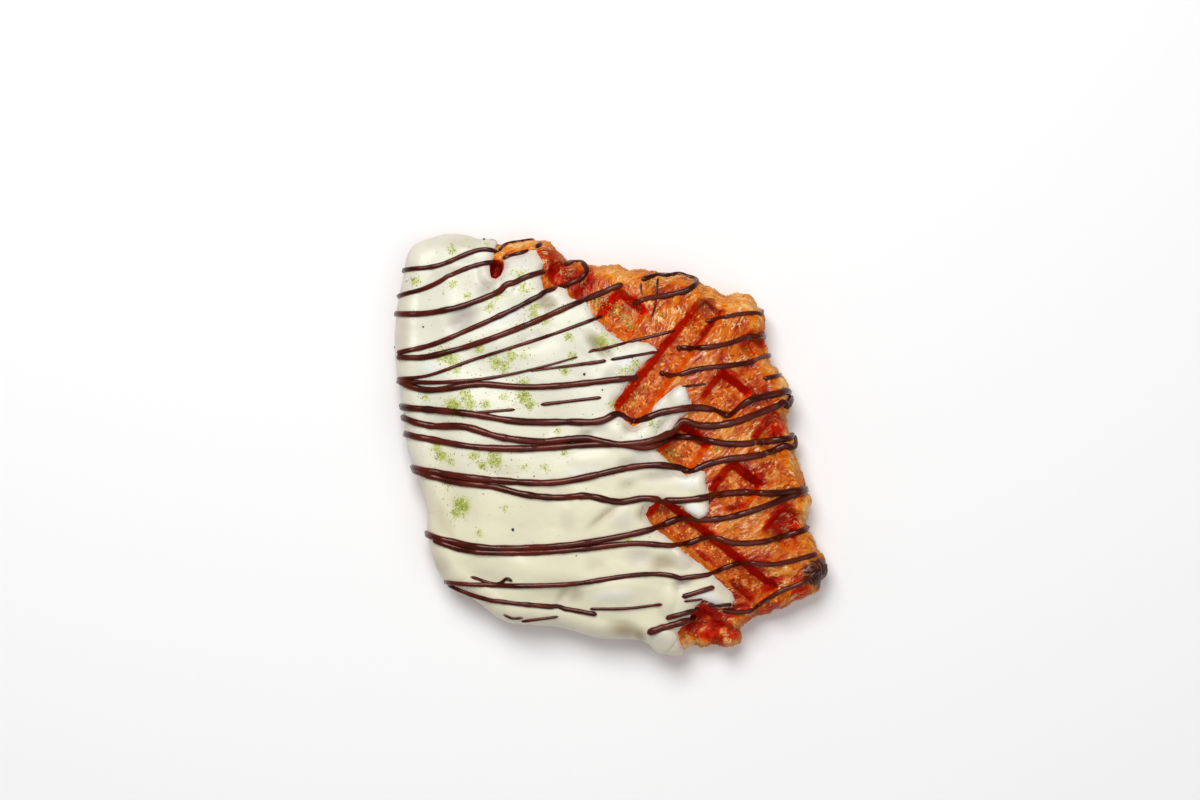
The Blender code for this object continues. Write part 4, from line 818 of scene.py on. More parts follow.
class Plan:
    """Points and lines to be joined up into triangles."""

    def __init__(self):
        self.points = []
        self.edges = []

    def add_line(self, path, closed=False):
        """Adds a line that edges of the triangles will follow."""
        first = len(self.points)
        self.points.extend(map(tuple, path))
        last = len(self.points) - 1
        self.edges.extend((k, k + 1) for k in range(first, last))
        if closed:
            self.edges.append((last, first))

    def fill(self, candidates, spacing):
        """Adds the candidates that keep clear of what is there."""
        ends = np.array([self.points[a] + self.points[b] for a, b in self.edges])
        marks = [np.array(self.points)]
        for share in (0.25, 0.5, 0.75):
            marks.append(ends[:, :2] * (1 - share) + ends[:, 2:] * share)
        marks = np.vstack(marks)
        for point in candidates:
            if np.min(np.hypot(marks[:, 0] - point[0], marks[:, 1] - point[1])) > spacing:
                self.points.append(tuple(point))

    def triangles(self, border):
        """Points and the triangles inside a border, turned to face up."""
        result = delaunay_2d_cdt(self.points, self.edges, [], 0, 0.04)
        points = np.array([tuple(p) for p in result[0]])
        faces = np.array([tuple(f) for f in result[2]])
        faces = faces[inside(points[faces].sum(axis=1) / 3, border)]
        a, b, c = points[faces[:, 0]], points[faces[:, 1]], points[faces[:, 2]]
        area = (b[:, 0] - a[:, 0]) * (c[:, 1] - a[:, 1]) - (b[:, 1] - a[:, 1]) * (c[:, 0] - a[:, 0])
        faces[area < 0] = faces[area < 0][:, ::-1]
        return points, faces[np.abs(area) > 1e-7]


def runs_where(path, mask):
    """The unbroken pieces of a path over which the mask holds."""
    pieces, current = [], []
    for point, ok in zip(path, mask):
        if ok:
            current.append(point)
        elif current:
            pieces.append(np.array(current))
            current = []
    if current:
        pieces.append(np.array(current))
    return [piece for piece in pieces if len(piece) > 2]


def add_clipped(plan, loop, mask):
    """Adds the parts of a closed loop over which the mask holds."""
    if mask.all():
        plan.add_line(loop, closed=True)
        return
    shift = int(np.argmin(mask))
    for piece in runs_where(np.roll(loop, -shift, axis=0), np.roll(mask, -shift)):
        plan.add_line(piece)


def add_hollows(plan, hollows, wall, allowed):
    """Adds the mouths and the floors of hollows wherever they are allowed."""
    for hollow in hollows:
        for shrink in (0.0, min(wall, min(hollow[1:3]) * WALL_SHARE)):
            loop = hollow_loop(hollow, shrink, LOOP_STEP)
            add_clipped(plan, loop, allowed(loop))


def boundary_loop(faces):
    """The one closed run of border corners of a set of triangles, in order."""
    sides = {(a, b) for face in faces.tolist() for a, b in zip(face, face[1:] + face[:1])}
    follow = {start: stop for start, stop in sides if (stop, start) not in sides}
    first = min(follow)
    loop = [first]
    while follow[loop[-1]] != first:
        loop.append(follow[loop[-1]])
    return loop


def refine(points, faces, target, rounds=8):
    """Halves every edge inside the border that is longer than its target length, until none is."""
    for _ in range(rounds):
        sides = np.sort(np.vstack([faces[:, [0, 1]], faces[:, [1, 2]], faces[:, [2, 0]]]), axis=1)
        pairs, back, uses = np.unique(sides, axis=0, return_inverse=True, return_counts=True)
        a, b = points[pairs[:, 0]], points[pairs[:, 1]]
        middle = (a + b) / 2
        long = (np.hypot(*(a - b).T) > target(middle)) & (uses == 2)
        if not long.any():
            break
        fresh = np.full(len(pairs), -1)
        fresh[long] = len(points) + np.arange(long.sum())
        points = np.vstack([points, middle[long]])
        middles = fresh[back.reshape(-1)].reshape(3, -1).T
        count = (middles >= 0).sum(axis=1)
        whole = np.column_stack([faces, middles])
        out = [faces[count == 0]]
        out += [whole[count == 3][:, corners] for corners in ([0, 3, 5], [3, 1, 4], [5, 4, 2], [3, 4, 5])]
        for turn in range(3):
            whole = np.column_stack([np.roll(faces, -turn, axis=1), np.roll(middles, -turn, axis=1)])
            cut = whole[:, 3:] >= 0
            one = cut[:, 0] & ~cut[:, 1] & ~cut[:, 2]
            two = cut[:, 0] & cut[:, 1] & ~cut[:, 2]
            out += [whole[one][:, corners] for corners in ([0, 3, 2], [3, 1, 2])]
            out += [whole[two][:, corners] for corners in ([3, 1, 4], [0, 3, 4], [0, 4, 2])]
        faces = np.vstack(out)
    return points, faces


def under_hollows(border):
    """Hollows of the underside: the same pressed pattern, wherever it meets the flat."""
    steps = [k for k in range(-UNDER_REACH, UNDER_REACH + 1) if k]
    wanted = [(grid_point(i * GRID_PITCH, j * GRID_PITCH), POCKET_HALF, POCKET_HALF, GRID_TURN)
              for i in steps for j in steps]
    middle, half = middle_and_half(UNDER_GROOVE)
    for side in (1, -1):
        wanted.append((grid_point(side * middle, 0.0), half, GROOVE_HALF, GRID_TURN))
        wanted.append((grid_point(0.0, side * middle), GROOVE_HALF, half, GRID_TURN))
    return [hollow for hollow in wanted if inside(hollow_loop(hollow, 0.0, 3.0), border).mean() > 0.3]


def add_object(name, data):
    """A new object of the scene."""
    thing = bpy.data.objects.new(name, data)
    bpy.context.scene.collection.objects.link(thing)
    return thing


def new_piece(name, points, edges=(), faces=(), values=None):
    """A new piece from points in millimetres, with one value a point for each named attribute."""
    mesh = bpy.data.meshes.new(name)
    mesh.from_pydata(((points + SHIFT) * MM).tolist(), edges, faces)
    mesh.polygons.foreach_set("use_smooth", [True] * len(mesh.polygons))
    for key, numbers in (values or {}).items():
        attribute = mesh.attributes.new(key, "FLOAT", "POINT")
        attribute.data.foreach_set("value", np.asarray(numbers, dtype=np.float32))
    mesh.update()
    return add_object(name, mesh)


def crest(value):
    """Turns smooth noise into thin ridges along its middle level."""
    return 1.0 - np.clip(np.abs(2.0 * value - 1.0) * 3.2, 0.0, 1.0)


def wall_halo(plan):
    """Red bloom outside the broader walls of the hollows."""
    halo = np.zeros(len(plan))
    for hollow in HOLLOWS:
        out, half = hollow_measure(plan + FLOOR_SHIFT, hollow)
        halo = np.maximum(halo, smoothstep(half + 1.1 - out, 0.0, 1.5))
    return halo


def crust_detail(place, depth_in, coat, pit, facing):
    """Relief of the crust and the values that colour it."""
    x, y, z = place.T
    bare = smoothstep(-coat, -0.6, 0.4)
    # Layers of dough: sheets that fan out over the top, and a stack of them on the side
    along = np.hypot(x - FAN_FOOT[0], y - FAN_FOOT[1])
    across = FAN_SCALE * np.arctan2(y - FAN_FOOT[1], x - FAN_FOOT[0])
    across += STREAK_BEND * layered(x / 22.0, y / 22.0, 41, 2) + LAYER_PACE * (1.0 - side_share(depth_in))
    sheet = across / 3.2 + 2.4 * layered(along / 11.0, across / 6.0, 43, 3)
    sheet += 0.5 * layered(x / 2.2, y / 2.2, 47, 3)
    side = smoothstep(depth_in, 3.4, 1.8)
    run = np.arctan2(y, x) * 50.0
    stack = z / 1.9 + 1.6 * layered(run / 9.0, z / 9.0, 53, 3) + 0.5 * layered(run / 2.0, z / 2.0, 55, 2)
    saw = (sheet - np.floor(sheet)) * (1 - side) + (stack - np.floor(stack)) * side
    # Fine forms that follow the layers
    swirl = 1.8 * layered(x / 6.0, y / 6.0, 65, 2)
    fibre = layered(across / 0.9 + swirl, along / 3.0, 61, 3)
    blister = layered(across / 2.6 + swirl, along / 4.4 + swirl, 67, 3)
    wrinkle = crest(layered(across / 2.0 + 1.4 * swirl, along / 4.6, 69, 2))
    grain = layered(x / 0.7, (y + z) / 0.7, 71, 3)
    # Walls, floors and flat lands, which fade out towards the rim
    seen = smoothstep(depth_in, 3.2, 4.6) * (0.55 + 0.45 * smoothstep(depth_in, 4.5, 8.0))
    wall = smoothstep(np.clip(4.0 * pit * (1.0 - pit), 0.0, 1.0), 0.05, 0.5) * seen
    floor = smoothstep(pit, 0.84, 1.0) * seen
    flat = 1.0 - smoothstep(pit, 0.0, 0.3) * seen
    patch = 0.45 + 0.75 * layered(x / 8.0, y / 8.0, 73, 2)
    lift = 0.30 * (saw - 0.5) * patch + 0.55 * (blister - 0.5) + 0.34 * (wrinkle - 0.3) + 0.14 * (fibre - 0.5)
    lift = lift * flat + (0.06 + 0.22 * floor + 0.26 * wall) * (grain - 0.5)
    lift += 1.1 * side * (layered(run / 1.7, z / 4.0, 57, 3) - 0.5)
    # Colour: how light the crust is, and where it is red, plum or burnt
    pale = oval_sum(x, y, PALE_WASH)
    tone = 0.60 * layered(x / 8.0 + 3.0, y / 8.0, 79, 3) + 0.50 * blister + 0.16 * wrinkle + 0.30 * fibre
    # Paler on the rounded side near the rim: painted light, for the thin lit edge
    tone += 0.22 * (1 - smoothstep(depth_in, 1.6, 5.2)) + 0.6 * pale
    # Painted shade: darker in the creases between the layers
    crease = (1 - smoothstep(saw, 0.0, 0.16)) * flat * smoothstep(patch, 0.70, 0.95)
    red = oval_sum(x, y, RED_WASH) + 0.55 * wall_halo(place[:, :2]) * flat * seen - 0.8 * pale
    red *= 0.3 + 0.7 * smoothstep(z, 1.0, 5.0)
    plum = oval_sum(x, y, PLUM_WASH)
    char = 1 - smoothstep(np.hypot(x - DARK_TIP[0], y - DARK_TIP[1]) + 2.4 * (grain - 0.5), 3.2, DARK_TIP[2])
    char *= smoothstep(z + 2.0 * (grain - 0.5), 1.5, 6.0)
    values = {"tone": tone - 0.27, "wall": wall, "floor": floor, "crease": crease, "grain": grain,
              "char": char, "red": red, "plum": plum, "across": across, "along": along, "facing": facing,
              "gloss": seen * (1.0 - wall) * (1.0 - 0.6 * floor)}
    return bare * lift, values


def bare_target(middle):
    """Longest edge wanted at each place of the pastry's upper face and side."""
    depth = rim_measure(middle)[0]
    pit = hollow_share(middle, depth)
    wanted = np.where((pit > 0.01) & (pit < 0.99), WALL_EDGE, BARE_EDGE)
    wanted = np.where(depth < SIDE_BAND, SIDE_EDGE, wanted)
    return np.where(coat_place(middle) > 0.8, HIDDEN_EDGE, wanted)


def upper_plan(rng):
    """Triangles of the pastry's upper face and side, in the unrolled plan."""
    rim = Rim(RIM_STEP)
    plan = Plan()
    plan.add_line(rim.loop, closed=True)
    for depth in SIDE_LINES:
        plan.add_line(rim.ring(depth)[::2], closed=True)
    add_hollows(plan, HOLLOWS, WALL_WIDTH,
                lambda loop: (rim_measure(loop)[0] > SIDE_BAND + 0.4) & (coat_place(loop) < 0.2))
    spots = hex_points(TOP_SPACING, rng)
    plan.fill(spots[rim_measure(spots)[0] > SIDE_BAND + 1.0], 1.5)
    return refine(*plan.triangles(rim.loop), bare_target)


def make_underside(border, rng):
    """Places and triangles of the underside, and how deep in a hollow and how far in each place is."""
    plan = Plan()
    plan.add_line(border, closed=True)
    hollows = under_hollows(border)
    track = Track(border, closed=True)
    add_hollows(plan, hollows, UNDER_WALL,
                lambda loop: inside(loop, border) & (track.near(loop)[0] > UNDER_MARGIN))
    spots = hex_points(UNDER_SPACING, rng)
    plan.fill(spots[inside(spots, border)], 2.6)
    points, faces = refine(*plan.triangles(border), lambda middle: UNDER_EDGE)
    off = track.near(points)[0]
    pit = np.zeros(len(points))
    for hollow in hollows:
        out, half = hollow_measure(points, hollow)
        pit = np.maximum(pit, np.clip((half - out) / UNDER_WALL, 0.0, 1.0))
    pit *= smoothstep(off, 0.4, 2.6)
    rough = layered(points[:, 0] / 4.0, points[:, 1] / 4.0, 83, 4)
    height = UNDER_DEPTH * pit + 0.12 * rough * smoothstep(off, 0.0, 1.5)
    return np.column_stack([points, height]), faces, pit, off


def make_pastry(material):
    """The baked body, closed, from its upper face, side and underside."""
    rng = np.random.default_rng(PASTRY_SEED)
    plan, faces = upper_plan(rng)
    place = surface(plan)
    depth, foot, way = rim_measure(plan)
    at = np.where((depth < SIDE_BAND)[:, None], foot + way * SIDE_BAND, plan)
    pit = hollow_share(at, np.maximum(depth, SIDE_BAND), RAGGED)
    # How far each place faces the key light, for the painted light and shade on the walls
    crisp = normals_of(plan, bare=True)
    lift, values = crust_detail(place, depth, coat_place(plan), pit, crisp[:, 1] + 0.35 * crisp[:, 0])
    lift *= smoothstep(depth, 0.0, 0.9) * smoothstep(place[:, 2], 0.1, 2.2)
    place += normals_of(plan) * lift[:, None]
    place[:, 2] = np.maximum(place[:, 2], 0.0)
    loop = boundary_loop(faces)
    place[loop, 2] = 0.0
    border = place[loop][:, :2]
    low, low_faces, low_pit, off = make_underside(border, rng)
    flat = np.zeros(len(low))
    _, low_values = crust_detail(low, off, flat - 9.0, low_pit, flat + 0.4)
    values["under"], low_values["under"] = np.zeros(len(place)), smoothstep(off, 0.0, 3.0)
    # The underside's border points are those of the side, so that the two close on each other
    low_loop = boundary_loop(low_faces)
    number = np.full(len(low), -1)
    number[low_loop] = np.array(loop)[nearest(point_tree(border), low[low_loop, :2])]
    fresh = number < 0
    number[fresh] = len(place) + np.arange(fresh.sum())
    joined = {key: np.concatenate([values[key], low_values[key][fresh]]) for key in values}
    shape = np.vstack([faces, number[low_faces[:, ::-1]]])
    crust = new_piece("croffle_crust", np.vstack([place, low[fresh]]), (), shape.tolist(), joined)
    crust.data.materials.append(material)
    return crust


def coat_target(middle):
    """Longest edge wanted at each place of the coat."""
    wanted = np.where(coat_place(middle) < LIP_RADIUS + 0.4, COAT_LIP_EDGE, COAT_FACE_EDGE)
    return np.where(rim_measure(middle)[0] < SIDE_BAND, np.minimum(wanted, COAT_SIDE_EDGE), wanted)


def make_coat(material):
    """The icing, closed, over its part of the pastry."""
    rng = np.random.default_rng(COAT_SEED)
    border = split_long(COAT_LOOP, 0.5, closed=True)
    plan = Plan()
    plan.add_line(border, closed=True)
    spots = hex_points(COAT_SPACING, rng)
    plan.fill(spots[coat_place(spots) > 0.8], 1.0)
    hidden, hidden_faces = plan.triangles(border)
    points, faces = refine(hidden, hidden_faces, coat_target)
    low = surface(hidden, bare=False) + normals_of(hidden) * 0.04
    high = surface(points, bare=False) + normals_of(points) * coat_rise(points)[:, None]
    loop = boundary_loop(faces)
    count = len(hidden)
    walls = []
    for a, b in zip(loop, loop[1:] + loop[:1]):
        walls += [(a, a + count, b + count), (b, a, b + count)]
    shape = np.vstack([hidden_faces[:, ::-1], faces + count, np.array(walls)])
    places, both = np.vstack([low, high]), np.vstack([hidden, points])
    x, y = places[:, :2].T
    green, level = np.zeros(len(both)), smoothstep(rim_measure(both)[0], 2.0, 3.6)
    for cx, cy, strength in CRUMB_SPOTS:
        away = np.hypot(x - cx, y - cy) + 1.6 * (layered(x / 1.1, y / 1.1, 91, 3) - 0.5)
        dusted = 1 - smoothstep(away, 0.1, 1.9 * math.sqrt(strength))
        green = np.maximum(green, dusted * (0.5 + 0.2 * strength) * level)
    values = {"rim": coat_place(both), "dent_shade": soft_hollows(both), "green": green,
              "brown": oval_sum(x, y, COAT_FORMS, 6), "lilac_shade_and_highlight": oval_sum(x, y, COAT_FORMS, 7)}
    coat = new_piece("croffle_icing", places, (), shape.tolist(), values)
    coat.data.materials.append(material)
    return coat


class Term:
    """One output of a node, with which ordinary arithmetic can be done."""

    def __init__(self, tree, node, key=0):
        self.tree = tree
        self.node = node
        self.socket = node.outputs[key] if len(node.outputs) else None

    def out(self, key):
        """Another output of the same node."""
        return Term(self.tree, self.node, key)

    def maths(self, kind, *values):
        """Adds the Math node that works out one operation."""
        return self.tree.add("ShaderNodeMath", dict(enumerate(values)), operation=kind)

    def __add__(self, other):
        return self.maths("ADD", self, other)

    def __radd__(self, other):
        return self.maths("ADD", other, self)

    def __sub__(self, other):
        return self.maths("SUBTRACT", self, other)

    def __rsub__(self, other):
        return self.maths("SUBTRACT", other, self)

    def __mul__(self, other):
        return self.maths("MULTIPLY", self, other)

    def __rmul__(self, other):
        return self.maths("MULTIPLY", other, self)

    def __abs__(self):
        return self.maths("ABSOLUTE", self)


class Tree:
    """A node tree under construction, of a material or of a shape."""

    def __init__(self, nodes):
        self.nodes = nodes

    def add(self, kind, inputs=None, **settings):
        """Adds a node: its settings first, then the values or links of its sockets."""
        node = self.nodes.nodes.new(kind)
        for key, value in settings.items():
            setattr(node, key, value)
        for key, value in (inputs or {}).items():
            if isinstance(value, Term):
                self.nodes.links.new(value.socket, node.inputs[key])
            else:
                node.inputs[key].default_value = value
        return Term(self, node)

    def fit(self, value, low, high, start=0.0, stop=1.0):
        """Maps low..high to start..stop smoothly, and holds beyond."""
        inputs = {0: value, 1: low, 2: high, 3: start, 4: stop}
        return self.add("ShaderNodeMapRange", inputs, interpolation_type="SMOOTHSTEP")

    def blend(self, share, first, second):
        """Mixes two colours, each a value or given as red, green and blue on the screen."""
        first, second = (srgb(*c) if isinstance(c, tuple) else c for c in (first, second))
        return self.add("ShaderNodeMix", {0: share, 6: first, 7: second}, data_type="RGBA").out(2)

    def shades(self, value, colour, *layers):
        """Lays colours over the first as a value changes: where each begins and is full, and its share."""
        for low, high, layer, *most in layers:
            colour = self.blend(self.fit(value, low, high, 0.0, *most), colour, layer)
        return colour


class Look(Tree):
    """One material, with its shader ready to be wired."""

    def __init__(self, name, **constants):
        self.material = bpy.data.materials.new(name)
        self.material.use_nodes = True
        super().__init__(self.material.node_tree)
        self.shader = self.nodes.nodes["Principled BSDF"]
        self.where = self.add("ShaderNodeTexCoord").out("Object")
        for key, value in constants.items():
            self.shader.inputs[key.replace("_", " ")].default_value = value

    def feed(self, name, term):
        """Wires a value to one of the shader's inputs."""
        self.nodes.links.new(term.socket, self.shader.inputs[name])

    def value(self, name):
        """One of the values that the piece carries at its points."""
        return self.add("ShaderNodeAttribute", attribute_name=name).out("Fac")

    def noise(self, scale, detail, rough=0.55):
        """Noise on the object's own coordinates, so many waves a metre."""
        inputs = {"Vector": self.where, "Scale": scale, "Detail": detail, "Roughness": rough}
        return self.add("ShaderNodeTexNoise", inputs)

    def bump(self, height, distance, strength=1.0):
        """Fine relief that only the shading shows."""
        inputs = {"Height": height, "Distance": distance, "Strength": strength}
        self.feed("Normal", self.add("ShaderNodeBump", inputs))


def srgb(red, green, blue):
    """A colour given in screen values, as linear light."""
    linear = [c / 255 / 12.92 if c <= 10 else ((c / 255 + 0.055) / 1.055) ** 2.4 for c in (red, green, blue)]
    return (*linear, 1.0)


def crust_material():
    """Browned, glossy crust: gold to orange lands with painted pale glints and painted shade in the creases,
    red walls painted lighter where they face the light, grainy floors.
    """
    look = Look("crust", IOR=1.45, Specular_IOR_Level=0.12, Specular_Tint=(1.0, 0.62, 0.34, 1.0),
                Coat_Roughness=0.2)
    flow = look.add("ShaderNodeCombineXYZ", {0: 1.4 * look.value("across"), 1: 0.48 * look.value("along")})
    threads = look.add("ShaderNodeTexNoise", {"Vector": flow, "Scale": 1.0, "Detail": 3.0})
    strokes = look.add("ShaderNodeTexNoise",
                       {"Vector": flow, "Scale": 0.62, "Detail": 1.0, "Distortion": 1.1})
    fine = look.noise(1500.0, 2.0)
    patchy = look.noise(380.0, 2.0)
    # Pale glints painted into the colour: painted highlights along thin lines of the layers
    painted_glint = look.fit(abs(strokes - 0.5), 0.060, 0.012) * look.fit(patchy, 0.47, 0.58)
    # Thin dark lines beside the glints, painted shade
    shade_lines = look.fit(abs(strokes - 0.40), 0.060, 0.012) * look.fit(patchy, 0.58, 0.46)
    tone = look.value("tone") + 0.55 * (threads - 0.5) + 0.2 * (fine - 0.5)
    colour = look.shades(tone, (146, 18, 0), (0.14, 0.36, (186, 62, 2)), (0.34, 0.56, (208, 103, 12)),
                         (0.56, 0.80, (228, 140, 46)), (0.82, 1.10, (246, 188, 116)))
    # Painted shade: dark red in the creases between the layers and along the thin lines beside the painted
    # glints
    colour = look.blend(0.5 * look.value("crease") + 0.6 * shade_lines, colour, (124, 14, 0))
    # Grainy floors of the hollows
    grain = fine + 0.4 * (look.value("grain") - 0.5)
    pit = look.shades(patchy, (170, 54, 0), (0.35, 0.65, (210, 98, 2)))
    pit = look.shades(grain, pit, (0.42, 0.28, (126, 14, 0)), (0.59, 0.72, (244, 178, 84)))
    colour = look.blend(look.value("floor"), colour, pit)
    # Red walls, with painted light and shade: more orange where they face the light, deeper red where they
    # face away
    lit = look.fit(look.value("facing"), -0.9, 0.9, 0.0, 0.9) + 0.35 * (grain - 0.5) + 0.5 * (patchy - 0.5)
    side = look.shades(lit, (174, 4, 0), (0.02, 0.34, (220, 20, 0)), (0.42, 0.70, (226, 90, 6)),
                       (0.72, 0.98, (234, 138, 44)))
    colour = look.blend(look.value("wall"), colour, side)
    # Red and plum washes, pale glints painted in as highlights, and the burnt tip
    wash = look.value("red") + 0.8 * (threads - 0.5) + 0.3 * (fine - 0.5)
    deep = look.shades(tone, (124, 0, 0), (0.2, 0.9, (206, 18, 0)))
    red = look.fit(wash, 0.16, 0.62, 0.0, 0.94)
    colour = look.blend(red, colour, deep)
    plum = look.value("plum") + 0.5 * (threads - 0.5) + 0.5 * (fine - 0.5)
    colour = look.shades(plum, colour, (0.20, 0.80, (140, 44, 28), 0.85))
    painted_glint = painted_glint * (1.0 - look.value("wall")) * (1.0 - 0.5 * look.value("floor"))
    painted_glint = painted_glint * (1.0 - 0.75 * look.value("under"))
    colour = look.blend(painted_glint * (0.75 - 0.35 * red), colour, (252, 214, 150))
    burnt = look.shades(threads, (50, 16, 8), (0.46, 0.64, (128, 80, 60)))
    colour = look.blend(look.value("char"), colour, burnt)
    look.feed("Base Color", colour)
    look.feed("Roughness", look.fit(patchy, 0.35, 0.65, 0.24, 0.5))
    look.feed("Coat Weight", look.value("gloss") * (0.5 - 0.35 * red))
    look.bump(0.8 * threads + 0.2 * fine + 0.3 * painted_glint, 0.00032)
    return look.material


def icing_material():
    """Thick pale icing, with painted shade in its hollows, painted white highlights on some lumps, and green
    where fine crumbs lie.
    """
    look = Look("icing", Roughness=0.38, IOR=1.45, Subsurface_Weight=0.2, Subsurface_Scale=0.0014,
                Subsurface_Radius=(1.0, 0.85, 0.6))
    height = look.add("ShaderNodeSeparateXYZ", {0: look.where}).out(1)
    warm = height + 0.03 * (look.noise(48.0, 3.0) - 0.5)
    colour = look.shades(warm, (225, 223, 204), (0.016, -0.022, (228, 222, 193)))
    # Painted shade: greyer in the soft hollows of the pressed pattern
    colour = look.shades(look.value("dent_shade"), colour, (0.35, 1.7, (204, 196, 188), 0.35))
    thin = look.value("rim") + 3.0 * (look.noise(160.0, 3.0) - 0.5)
    colour = look.shades(thin, colour, (3.2, 0.2, (206, 186, 176), 0.6))
    # Painted shade: lilac grey where the forms' lilac shade is above nought
    colour = look.blend(0.75 * look.value("lilac_shade_and_highlight"), colour, (188, 179, 177))
    # Painted highlight: near white where it is below nought
    colour = look.blend(-0.7 * look.value("lilac_shade_and_highlight"), colour, (238, 239, 238))
    # Brown: painted shade in hollows and low on the edges, with some crust showing through thin icing
    colour = look.blend(0.85 * look.value("brown"), colour, (150, 128, 92))
    dust = look.value("green") * look.fit(look.noise(1500.0, 3.0, 0.6), 0.28, 0.56)
    colour = look.shades(dust, colour, (0.02, 0.6, (190, 196, 96), 0.8), (0.45, 1.0, (146, 162, 48), 0.7))
    look.feed("Base Color", colour)
    look.bump(look.noise(160.0, 2.0), 0.0005, 0.35)
    return look.material


def drizzle_material():
    """Dark, glossy drizzle with a red cast."""
    look = Look("drizzle", Roughness=0.22, IOR=1.45, Specular_IOR_Level=0.40,
                Specular_Tint=(1.0, 0.70, 0.62, 1.0))
    look.feed("Base Color", look.shades(look.noise(120.0, 2.0), (54, 8, 2), (0.35, 0.65, (86, 26, 14))))
    look.bump(look.noise(500.0, 2.0), 0.0003, 0.3)
    return look.material


def crumb_material():
    """Green crumbs, from olive to pale."""
    look = Look("crumb", Roughness=0.7)
    colour = look.shades(look.value("tone"), (116, 130, 28), (0.0, 0.55, (170, 180, 62)),
                         (0.55, 1.0, (222, 222, 136)))
    look.feed("Base Color", colour)
    return look.material


def shape_tree(name, **sockets):
    """An empty shape tree with a geometry way in and out and the named inputs."""
    nodes = bpy.data.node_groups.new(name, "GeometryNodeTree")
    nodes.interface.new_socket("Geometry", in_out="OUTPUT", socket_type="NodeSocketGeometry")
    for key, kind in {"Geometry": "Geometry", **sockets, "Material": "Material"}.items():
        nodes.interface.new_socket(key.replace("_", " "), in_out="INPUT", socket_type="NodeSocket" + kind)
    tree = Tree(nodes)
    return tree, tree.add("NodeGroupInput")


def finish_tree(tree, source, shape):
    """Ends a shape tree: instances made real, shaded smooth, given their material."""
    real = tree.add("GeometryNodeRealizeInstances", {0: shape})
    smooth = tree.add("GeometryNodeSetShadeSmooth", {0: real})
    painted = tree.add("GeometryNodeSetMaterial", {0: smooth, "Material": source.out("Material")})
    tree.add("NodeGroupOutput", {0: painted})
    return tree.nodes


def tube_tree():
    """Sweeps a flattened, slightly uneven round along the input lines."""
    tree, source = shape_tree("drizzle_tubes", Flatness="Float", Unevenness="Float",
                              Scale_of_unevenness="Float", Sides="Int")
    line = tree.add("GeometryNodeMeshToCurve", {0: source.out("Geometry")})
    line = tree.add("GeometryNodeSetCurveNormal", {0: line}, mode="Z_UP")
    thick = tree.add("GeometryNodeInputNamedAttribute", {"Name": "thick"}, data_type="FLOAT")
    ripple = tree.add("ShaderNodeTexNoise", {"Scale": source.out("Scale of unevenness"), "Detail": 2.0})
    radius = thick * (1.0 + source.out("Unevenness") * (ripple - 0.5))
    ring = tree.add("GeometryNodeCurvePrimitiveCircle", {"Resolution": source.out("Sides"), "Radius": 1.0})
    size = tree.add("ShaderNodeCombineXYZ", {0: 1.0, 1: source.out("Flatness"), 2: 1.0})
    ring = tree.add("GeometryNodeTransform", {0: ring, "Scale": size})
    tube = tree.add("GeometryNodeCurveToMesh", {0: line, 1: ring, "Scale": radius, "Fill Caps": True})
    return finish_tree(tree, source, tube)


def grain_tree():
    """Puts a small lump at every input point, each turned and sized by its own seeded numbers."""
    tree, source = shape_tree("crumb_scatter", Seed="Int", Smallest="Float", Largest="Float")

    def random_vector(low, high, seed):
        """Three random numbers for each lump."""
        inputs = {0: low, 1: high, "Seed": seed}
        return tree.add("FunctionNodeRandomValue", inputs, data_type="FLOAT_VECTOR")

    lump = tree.add("GeometryNodeMeshIcoSphere", {"Radius": 1.0, "Subdivisions": 1})
    turn = random_vector((0.0, 0.0, 0.0), (6.28, 6.28, 6.28), source.out("Seed"))
    low, high = (tree.add("ShaderNodeCombineXYZ", {k: source.out(key) for k in range(3)})
                 for key in ("Smallest", "Largest"))
    size = random_vector(low, high, source.out("Seed") + 1.0)
    own = tree.add("GeometryNodeInputNamedAttribute", {"Name": "size"}, data_type="FLOAT")
    size = tree.add("ShaderNodeVectorMath", {0: size, "Scale": own}, operation="SCALE")
    lumps = tree.add("GeometryNodeInstanceOnPoints",
                     {"Points": source.out("Geometry"), "Instance": lump, "Rotation": turn, "Scale": size})
    return finish_tree(tree, source, lumps)


def grown(piece, nodes, **inputs):
    """Runs a shape tree on a piece and keeps the plain mesh that it gives."""
    modifier = piece.modifiers.new("shape", "NODES")
    modifier.node_group = nodes
    for item in nodes.interface.items_tree:
        key = item.name.replace(" ", "_")
        if item.in_out == "INPUT" and key in inputs:
            modifier[item.identifier] = inputs[key]
    bpy.context.view_layer.update()
    result = piece.evaluated_get(bpy.context.evaluated_depsgraph_get())
    mesh = bpy.data.meshes.new_from_object(result)
    piece.modifiers.remove(modifier)
    piece.data = mesh
    return piece


def drape(plan):
    """Where a strand lies: on the coat where there is coat, else on the crust."""
    coat = coat_place(plan)
    normal = normals_of(plan)
    on_coat = surface(plan, bare=False) + normal * coat_rise(plan)[:, None]
    return np.where((coat > 0.15)[:, None], on_coat, surface(plan)), normal


def laid(path, rise):
    """Moves a path seen from above to the unrolled plan, so that a strand on the surface is seen there."""
    plan = unroll(path)
    for _ in range(4):
        place, normal = drape(plan)
        plan = unroll(path - (place + normal * rise - surface(plan, bare=False))[:, :2])
    return plan


